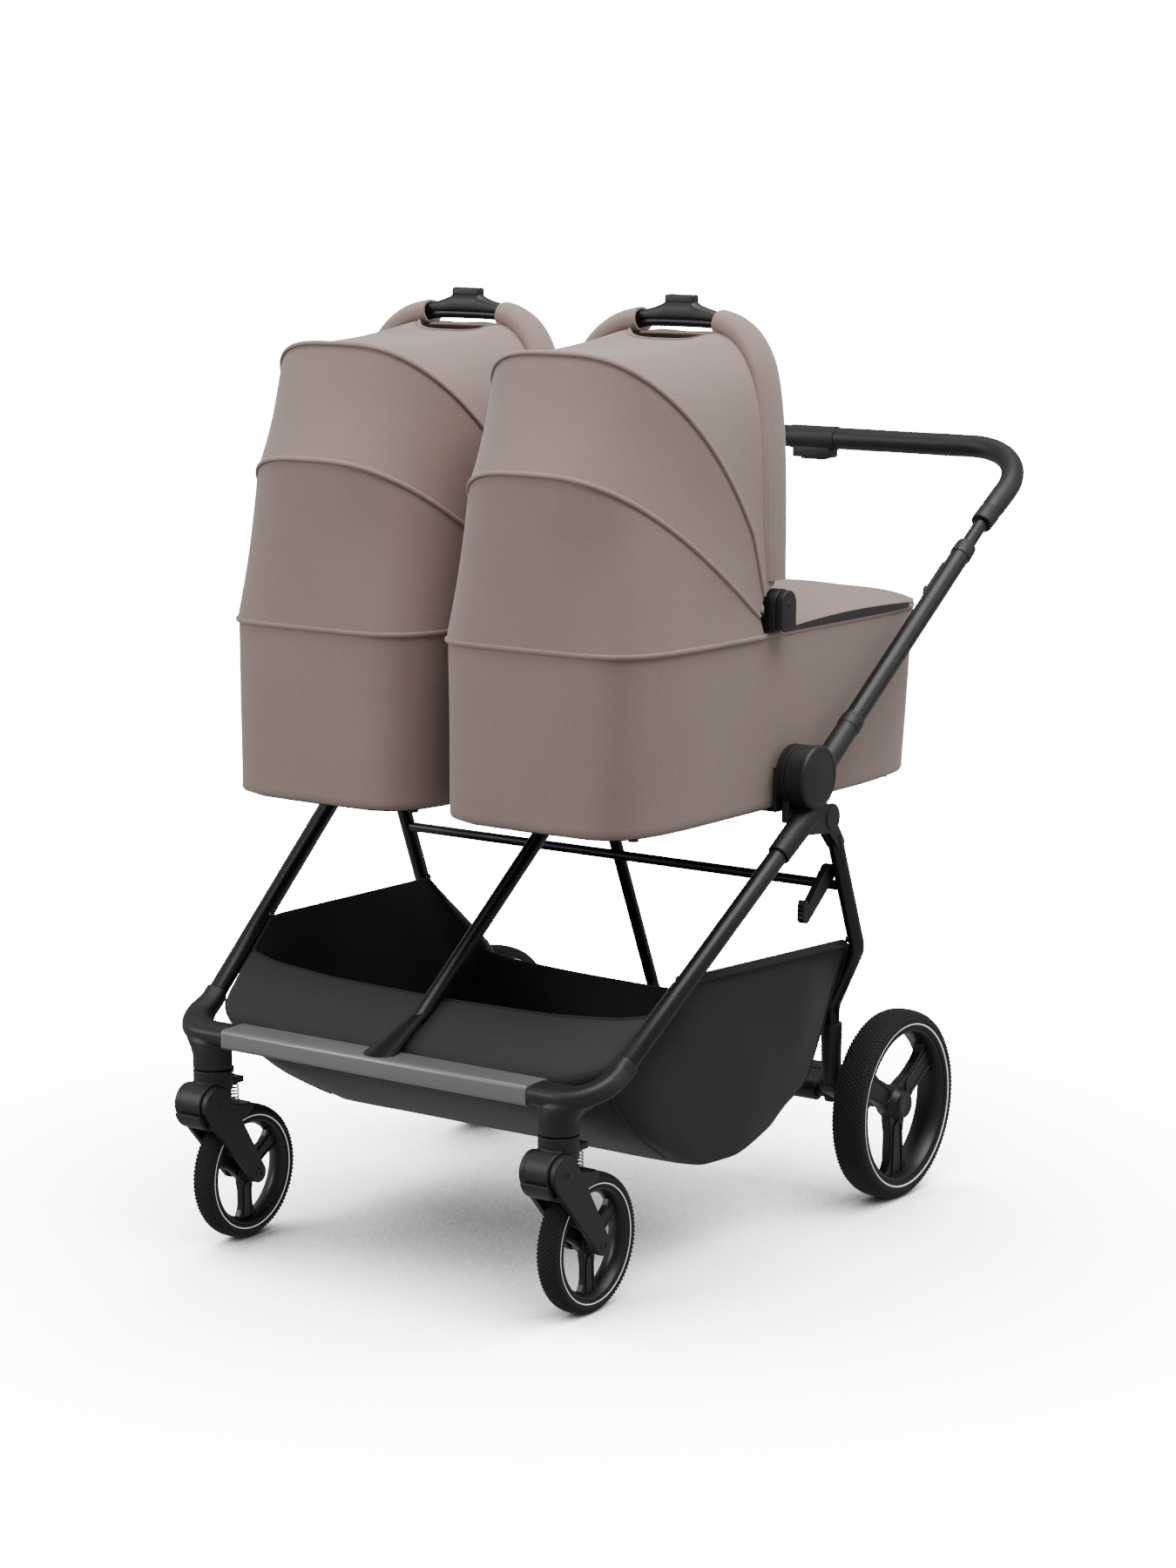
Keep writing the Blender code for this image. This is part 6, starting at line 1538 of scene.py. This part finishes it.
def rim_line(half, z, count=HOOD_STEPS):
    """The line round the front of the tub that the front panel's hem follows."""
    middle_y = (COT_FRONT_Y + COT_REAR_Y) / 2
    reach = (COT_REAR_Y - COT_FRONT_Y) / 2 - 0.001
    first = math.asin(((middle_y - HINGE_Y + 0.026) / reach) ** 3)
    points = []
    for step in range(401):
        across, out = squircle(first + (math.pi - 2 * first) * step / 400, TUB_SQUARE)
        points.append(Vector((COT_X + across * half, middle_y - out * (reach + half - HOOD_HALF), z)))
    return even(points, count)


def hood_panel(low, high, rows, hollow, tuck_low, tuck_high, seed):
    """Cloth between two edges: pulled straight, a little hollow, tucked in at the edges."""
    hinge = Vector((COT_X, HINGE_Y, HINGE_Z))
    bm = bmesh.new()
    lines = []
    for row in range(rows + 1):
        share = row / rows
        line = []
        for step, (near, far) in enumerate(zip(low, high)):
            along = step / (len(low) - 1)
            rise = math.sin(math.pi * along) ** 0.5 if 0.0 < along < 1.0 else 0.0
            point = near.lerp(far, share)
            out = point - hinge
            pull = hollow * math.sin(math.pi * share) * rise
            pull += (tuck_low * math.exp(-((share * rows) / 0.9) ** 2)
                     + tuck_high * math.exp(-(((1 - share) * rows) / 0.9) ** 2))
            slack = noise.noise(Vector((point.x * 9.0, point.y * 9.0 + seed, point.z * 9.0)))
            pull += 0.0011 * slack * math.sin(math.pi * share)
            length = math.hypot(out.y, out.z)
            flat = Vector((out.x * 0.8, out.y, out.z))
            line.append(bm.verts.new(point - flat.normalized() * pull * min(1.0, length / 0.12)))
        lines.append(line)
    join_lines(bm, lines)
    return bm


def outward_cloth(piece, side):
    """Turns the cloth's faces away from the middle of its hood."""
    hinge = COT_LEVEL @ Vector((COT_X, HINGE_Y - 0.05, HINGE_Z + 0.05))
    hinge.x *= side
    middle = piece.data.polygons[len(piece.data.polygons) // 2]
    if middle.normal.dot(middle.center - hinge) < 0:
        piece.data.flip_normals()


VENT_HALF = 0.068
ROLLED_EDGE = (0.0022, 0.0034)
# The hoods are sewn with a thread a shade darker than the cloth.
TAUPE_THREAD = grained_finish("polyester_thread_taupe", "#6a5e56", "#5c5049", 0.70, 0.8, 0.06)
for side, suffix in SIDES:
    place = cot_matrix(side)

    rim_edge = rim_line(HOOD_HALF + 0.0016, COT_RIM_Z - 0.0012)
    front_edge = hood_arch("front")
    middle_edge = hood_arch("middle")
    rear_edge = []
    for point in hood_arch("rear"):
        across = point.x - COT_X
        window = max(0.0, 1.0 - (abs(across) / VENT_HALF) ** 4.0) if point.z > 1.15 else 0.0
        ahead = 0.014 + 0.030 * window ** 0.6
        ahead *= min(1.0, (point.z - HINGE_Z) / 0.10)
        rear_edge.append(point + Vector((0.0, -ahead, -0.014 * window)))
    rear_edge = even(rear_edge, HOOD_STEPS)

    panels = (
        ("front", rim_edge, front_edge, 26, 0.0030, 0.0, 0.0014, "cot_", "hood_front_", 6.0, 29.0,
         (0.92, 0.30)),
        ("middle", front_edge, middle_edge, 22, 0.0050, -0.0004, 0.0014, "hood_front_", "hood_middle_", 31.0,
         50.0, (0.98, 0.21)),
        ("rear", middle_edge, rear_edge, 26, 0.0040, -0.0004, 0.0, "hood_middle_", "hoop_", 53.0, 88.0,
         (1.02, 0.31)),
    )
    for (name, low, high, rows, hollow, tuck_low, tuck_high, body_a, body_b, angle_a, angle_b,
         cut_size) in panels:
        bm = hood_panel(low, high, rows, hollow, tuck_low, tuck_high, side * 2.0 + rows)
        panel = cot_piece("hood_" + name + "_cloth_" + suffix, bm, TAUPE_CLOTH, side, 60.0)
        outward_cloth(panel, side)
        backed(panel, 0.0018)
        panel.data.materials.append(LINING)
        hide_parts("hood_" + name + "_panel_" + suffix)
        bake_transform(panel)

    for name, angle, eye_x in (("front", FRONT_ANGLE, HOOD_HALF - 0.0080),
                               ("middle", MIDDLE_ANGLE, HOOD_HALF - 0.0127)):
        body = "hood_" + name + "_" + suffix
        bm = bmesh.new()
        hinge_local = Vector((COT_X, HINGE_Y, HINGE_Z))
        line = [point + (point - hinge_local).normalized() * 0.0006 for point in hood_arch(name)]
        add_swept(bm, line, [ROLLED_EDGE] * len(line), 14, up=(0.0, -math.sin(angle), -math.cos(angle)))
        edge = cot_piece("hood_" + name + "_rolled_edge_" + suffix, bm, TAUPE_CLOTH, side, 60.0)
        fit(edge, body, "cot_fabric")
        bm = bmesh.new()
        rib_line = ((eye_x, 0.004), (eye_x, 0.024), (HOOD_HALF - 0.0085, 0.036),
                    (HOOD_HALF - 0.0095, 0.062))
        for wall_side in (-1.0, 1.0):
            line = [hood_point(wall_side * across, out, angle) for across, out in rib_line]
            add_swept(bm, line, 0.0022, 12)
            add_turned(bm, [(0.0035, -0.0015), (0.0074, -0.0015), (0.0074, 0.0015), (0.0035, 0.0015)],
                       (COT_X + wall_side * eye_x, HINGE_Y, HINGE_Z), 32)
        rib = cot_piece("hood_" + name + "_rib_ends_" + suffix, bm, NYLON, side, 40.0)
        fit(rib, body, "plastic", "hood_" + name + "_rib_" + suffix)

    bm = bmesh.new()
    line = [point + Vector((0.0, 0.0, 0.0004)) for point in rim_edge]
    add_swept(bm, line, [(0.0024, 0.0034)] * len(line), 12)
    hem_edge = cot_piece("hood_front_hem_" + suffix, bm, TAUPE_CLOTH, side, 60.0)
    fit(hem_edge, "cot_" + suffix, "cot_fabric")

    bm = bmesh.new()
    line = rear_edge[18:-18]
    add_swept(bm, line, 0.0021, 12)
    vent_edge = cot_piece("hood_vent_edge_" + suffix, bm, TAUPE_CLOTH, side, 60.0)
    fit(vent_edge, "hoop_" + suffix, "cot_fabric")
    sewn = [place @ (high.lerp(low, 0.028) + Vector((0.0, -0.0006, 0.0012)))
            for low, high in zip(middle_edge[30:-30], rear_edge[30:-30])]
    seam = stitched("hood_vent_stitches_" + suffix, [sewn], TAUPE_THREAD, 0.0040, 0.00040, 0.0029)
    fit(seam, "hoop_" + suffix, "cot_fabric")


# Carry hoops
# An aluminium hoop stands over each cot inside two padded sleeves. Between them sits a moulded
# grip with concave flanks and a button on top, and a band of cloth is gathered behind the hoop.
CARRY_GRIP_HALF = 0.0605
for side, suffix in SIDES:
    hoop_half = HOOD_HALF - 0.0243
    HOOD_ARCHES["tube"] = (HOOP_ANGLE, 0.362, 4.2)
    tube_line = hood_arch("tube", hoop_half, 0.030, 120)
    bm = bmesh.new()
    foot = [hood_point(hoop_half + 0.0035, 0.004, HOOP_ANGLE),
            hood_point(hoop_half + 0.0015, 0.020, HOOP_ANGLE)]
    other = [Vector((2 * COT_X - point.x, point.y, point.z)) for point in foot[::-1]]
    add_swept(bm, foot + tube_line + other, 0.0070, 24)
    hoop = cot_piece("carry_hoop_tube_" + suffix, bm, POWDER_COAT, side, 40.0)
    fit(hoop, "hoop_" + suffix, "plastic", "carry_hoop_" + suffix)

    HOOD_ARCHES["sleeve"] = (HOOP_ANGLE, 0.3655, 3.8)
    sleeve_line = hood_arch("sleeve", HOOD_HALF - 0.0045, 0.030, 200)
    for end in (-1.0, 1.0):
        line = [point for point in sleeve_line if (point.x - COT_X) * end > CARRY_GRIP_HALF]
        if end < 0:
            line = line[::-1]
        bm = bmesh.new()
        rings = []
        total = len(line) - 1
        for index, point in enumerate(line):
            share = index / total
            before = line[max(index - 1, 0)]
            after = line[min(index + 1, total)]
            way = (after - before).normalized()
            aside = Vector((0.0, 1.0, 0.0))
            away = way.cross(aside).normalized() * end
            if away.dot(point - Vector((COT_X, HINGE_Y, HINGE_Z))) < 0:
                away = -away
            height = (point.z - HINGE_Z) / 0.37
            wide = 0.0250 + 0.0045 * min(1.0, height * 4.0) - 0.0090 * max(0.0, (share - 0.75) / 0.25)
            crown = min(1.0, max(0.0, (height - 0.62) / 0.36))
            thick = 0.0085 + 0.0080 * crown * crown * (3 - 2 * crown)
            wide += 0.0012 * max(0.0, (share - 0.93) / 0.07)
            puff = 1.0 + 0.05 * noise.noise(Vector((point.x * 16, side * 3, point.z * 16)))
            centre = point + Vector((0.0, 0.0010 - 0.0130 * math.sin(math.pi * share) ** 0.8, 0.0))
            ring = []
            for step in range(40):
                across, out = squircle(2 * math.pi * step / 40, 2.2)
                rib = 0.0006 * math.cos(6 * math.pi * across)
                ring.append(bm.verts.new(centre + aside * across * wide + away * out * (thick * puff + rib)))
            rings.append(ring)
        inner = []
        for ring in rings[:-18:-1]:
            middle = sum((vert.co for vert in ring), Vector()) / len(ring)
            inner.append([bm.verts.new(middle.lerp(vert.co, 0.84)) for vert in ring])
        join_rows(bm, rings + inner, caps=True)
        name = "hoop_sleeve_" + ("outer_" if end > 0 else "inner_") + suffix
        sleeve = cot_piece(name, bm, TAUPE_CLOTH, side, 60.0)
        fit(sleeve, "hoop_" + suffix, "cot_fabric")

    bm = bmesh.new()
    top = hood_point(0.0, 0.377, HOOP_ANGLE)
    rows = []
    for step in range(61):
        across = -CARRY_GRIP_HALF + 2 * CARRY_GRIP_HALF * step / 60
        rise = max(0.0, (abs(across) - 0.0230) / 0.0345)
        high = 0.0122 - 0.0128 * min(1.0, rise) ** 0.62 - 0.0016 * max(0.0, rise - 0.85) / 0.25
        low = -0.0136 + 0.0012 * max(0.0, rise - 0.85) / 0.25
        deep = 0.0122 - 0.0012 * min(1.0, rise)
        row = []
        for turn in range(36):
            out, up = squircle(2 * math.pi * turn / 36, 3.4)
            shoulder = 1.0 - 0.26 * max(0.0, up) ** 2 * (1 - min(1.0, rise))
            row.append(bm.verts.new((COT_X + across, top.y + out * deep * shoulder,
                                     top.z + (high + low) / 2 + up * (high - low) / 2)))
        rows.append(row)
    join_rows(bm, rows, caps=True)
    grip_piece = cot_piece("carry_grip_moulding_" + suffix, bm, NYLON, side, 40.0)
    fit(grip_piece, "hoop_" + suffix, "plastic")

    bm = bmesh.new()
    add_block(bm, (COT_X - 0.0232, top.y - 0.0078, top.z + 0.0092),
              (COT_X + 0.0232, top.y + 0.0078, top.z + 0.0208))
    button = eased(cot_piece("grip_button_cap_" + suffix, bm, NYLON, side), 0.0030, 5)
    fit(button, "button_" + suffix, "plastic", "grip_button_" + suffix)

    bm = bmesh.new()
    HOOD_ARCHES["band"] = (HOOP_ANGLE, 0.3470, 4.2)
    band_line = hood_arch("band", HOOD_HALF - 0.0100, 0.040, 120)
    rows = []
    for row in range(11):
        share = row / 10
        line = []
        for index, point in enumerate(band_line):
            along = index / 120
            height = (point.z - HINGE_Z) / 0.356
            crown = max(0.0, 1.0 - (abs(point.x - COT_X) / 0.15) ** 4)
            wide = 0.012 + 0.030 * math.sin(math.pi * min(1.0, height * 0.92)) ** 1.2 + 0.010 * crown
            ruffle = 0.0022 * math.sin(along * 68.0) * share
            inward = (Vector((COT_X, point.y, HINGE_Z + 0.17)) - point).normalized()
            hollow = 0.006 * math.sin(math.pi * share)
            line.append(bm.verts.new(point + Vector((0.0, -0.008 + wide * share, 0.0))
                                     + inward * (0.013 * share ** 2 + ruffle) - inward * hollow))
        rows.append(line)
    join_lines(bm, rows)
    band = cot_piece("hood_rear_band_" + suffix, bm, TAUPE_CLOTH, side, 60.0)
    outward_cloth(band, side)
    backed(band, 0.0020)
    fit(band, "hoop_" + suffix, "cot_fabric")


# Studio
# A white floor that fades into a white surround, under large soft lights.
def plain_paper(name, hex_colour, roughness):
    """A plain finish for the studio."""
    material = bpy.data.materials.new(name)
    material.use_nodes = True
    shader = material.node_tree.nodes["Principled BSDF"]
    shader.inputs["Base Color"].default_value = linear(hex_colour)
    shader.inputs["Roughness"].default_value = roughness
    return material


# The paper is seen by the camera alone; the object is lit by the lamps and the surround. It is
# clear, so that a wheel that folds below it isn't cut off, and it darkens the white surround
# behind it where the object stands close over it, as a soft shadow does.
SHADE_REACH = 1.1
SHADE_POWER = 2.9
paper = plain_paper("studio_paper", "#f4f4f4", 0.9)
tree = paper.node_tree
near_object = add_node(tree, "ShaderNodeAmbientOcclusion", {"Distance": SHADE_REACH}, samples=16)
faded = add_node(tree, "ShaderNodeMath", {0: near_object.outputs["AO"], 1: SHADE_POWER}, operation="POWER")
shade = add_node(tree, "ShaderNodeBsdfTransparent", {"Color": faded.outputs[0]})
tree.links.new(shade.outputs[0], tree.nodes["Material Output"].inputs["Surface"])
bm = bmesh.new()
bmesh.ops.create_grid(bm, x_segments=2, y_segments=2, size=14.0)
bmesh.ops.translate(bm, vec=(0.0, 0.0, -0.0004), verts=bm.verts)
floor = finished("studio_floor", bm, paper)
surround = plain_paper("studio_surround", "#000000", 1.0)
# The surround is lit from within, so that it photographs as plain white.
surround_shader = surround.node_tree.nodes["Principled BSDF"]
surround_shader.inputs["Emission Color"].default_value = (1.0, 1.0, 1.0, 1.0)
surround_shader.inputs["Emission Strength"].default_value = 17.0
bm = bmesh.new()
bmesh.ops.create_uvsphere(bm, u_segments=48, v_segments=24, radius=13.0)
bmesh.ops.reverse_faces(bm, faces=bm.faces)
dome = finished("studio_dome", bm, surround)
for stage_piece in (floor, dome):
    stage_piece.visible_diffuse = False
    stage_piece.visible_glossy = False
    stage_piece.visible_transmission = False
    stage_piece.visible_shadow = False

world = bpy.data.worlds.new("studio")
bpy.context.scene.world = world
world.use_nodes = True
world.node_tree.nodes["Background"].inputs["Color"].default_value = (1.0, 1.0, 1.0, 1.0)
world.node_tree.nodes["Background"].inputs["Strength"].default_value = 0.48


def soft_light(name, place, aim, size, power):
    """A lamp behind a large cloth, turned to what it lights."""
    lamp = bpy.data.lights.new(name, "AREA")
    lamp.shape = "RECTANGLE"
    lamp.size = size[0]
    lamp.size_y = size[1]
    lamp.energy = power
    holder = bpy.data.objects.new(name, lamp)
    bpy.context.scene.collection.objects.link(holder)
    holder.location = place
    holder.rotation_euler = (Vector(aim) - Vector(place)).to_track_quat("-Z", "Y").to_euler()


soft_light("overhead", (0.9, -0.2, 4.0), (0.0, 0.0, 0.4), (3.2, 3.2), 190.0)
soft_light("front_left", (-3.0, -3.4, 2.4), (0.0, -0.1, 0.6), (2.2, 2.2), 95.0)
soft_light("rear_right", (3.4, 2.2, 2.8), (0.0, 0.1, 0.6), (2.0, 2.4), 22.0)

# The camera stands ahead and to the right, a little above the hoods, as in the photograph.
CAMERA_PLACE = (2.895, -4.1757, 1.547)
AZIMUTH = math.radians(35.003)
ELEVATION = math.radians(10.665)
ROLL = math.radians(-0.244)
camera_data = bpy.data.cameras.new("studio_camera")
camera_data.sensor_fit = "VERTICAL"
camera_data.sensor_height = 36.0
camera_data.lens = 84.45
camera_data.clip_end = 60.0
camera = bpy.data.objects.new("studio_camera", camera_data)
bpy.context.scene.collection.objects.link(camera)
look = Vector((-math.sin(AZIMUTH) * math.cos(ELEVATION), math.cos(AZIMUTH) * math.cos(ELEVATION),
               -math.sin(ELEVATION)))
right = look.cross(Vector((0.0, 0.0, 1.0))).normalized()
upward = right.cross(look)
rolled_right = right * math.cos(ROLL) + upward * math.sin(ROLL)
rolled_up = upward * math.cos(ROLL) - right * math.sin(ROLL)
camera.matrix_world = Matrix((
    (rolled_right.x, rolled_up.x, -look.x, CAMERA_PLACE[0]),
    (rolled_right.y, rolled_up.y, -look.y, CAMERA_PLACE[1]),
    (rolled_right.z, rolled_up.z, -look.z, CAMERA_PLACE[2]),
    (0.0, 0.0, 0.0, 1.0)))
bpy.context.scene.camera = camera
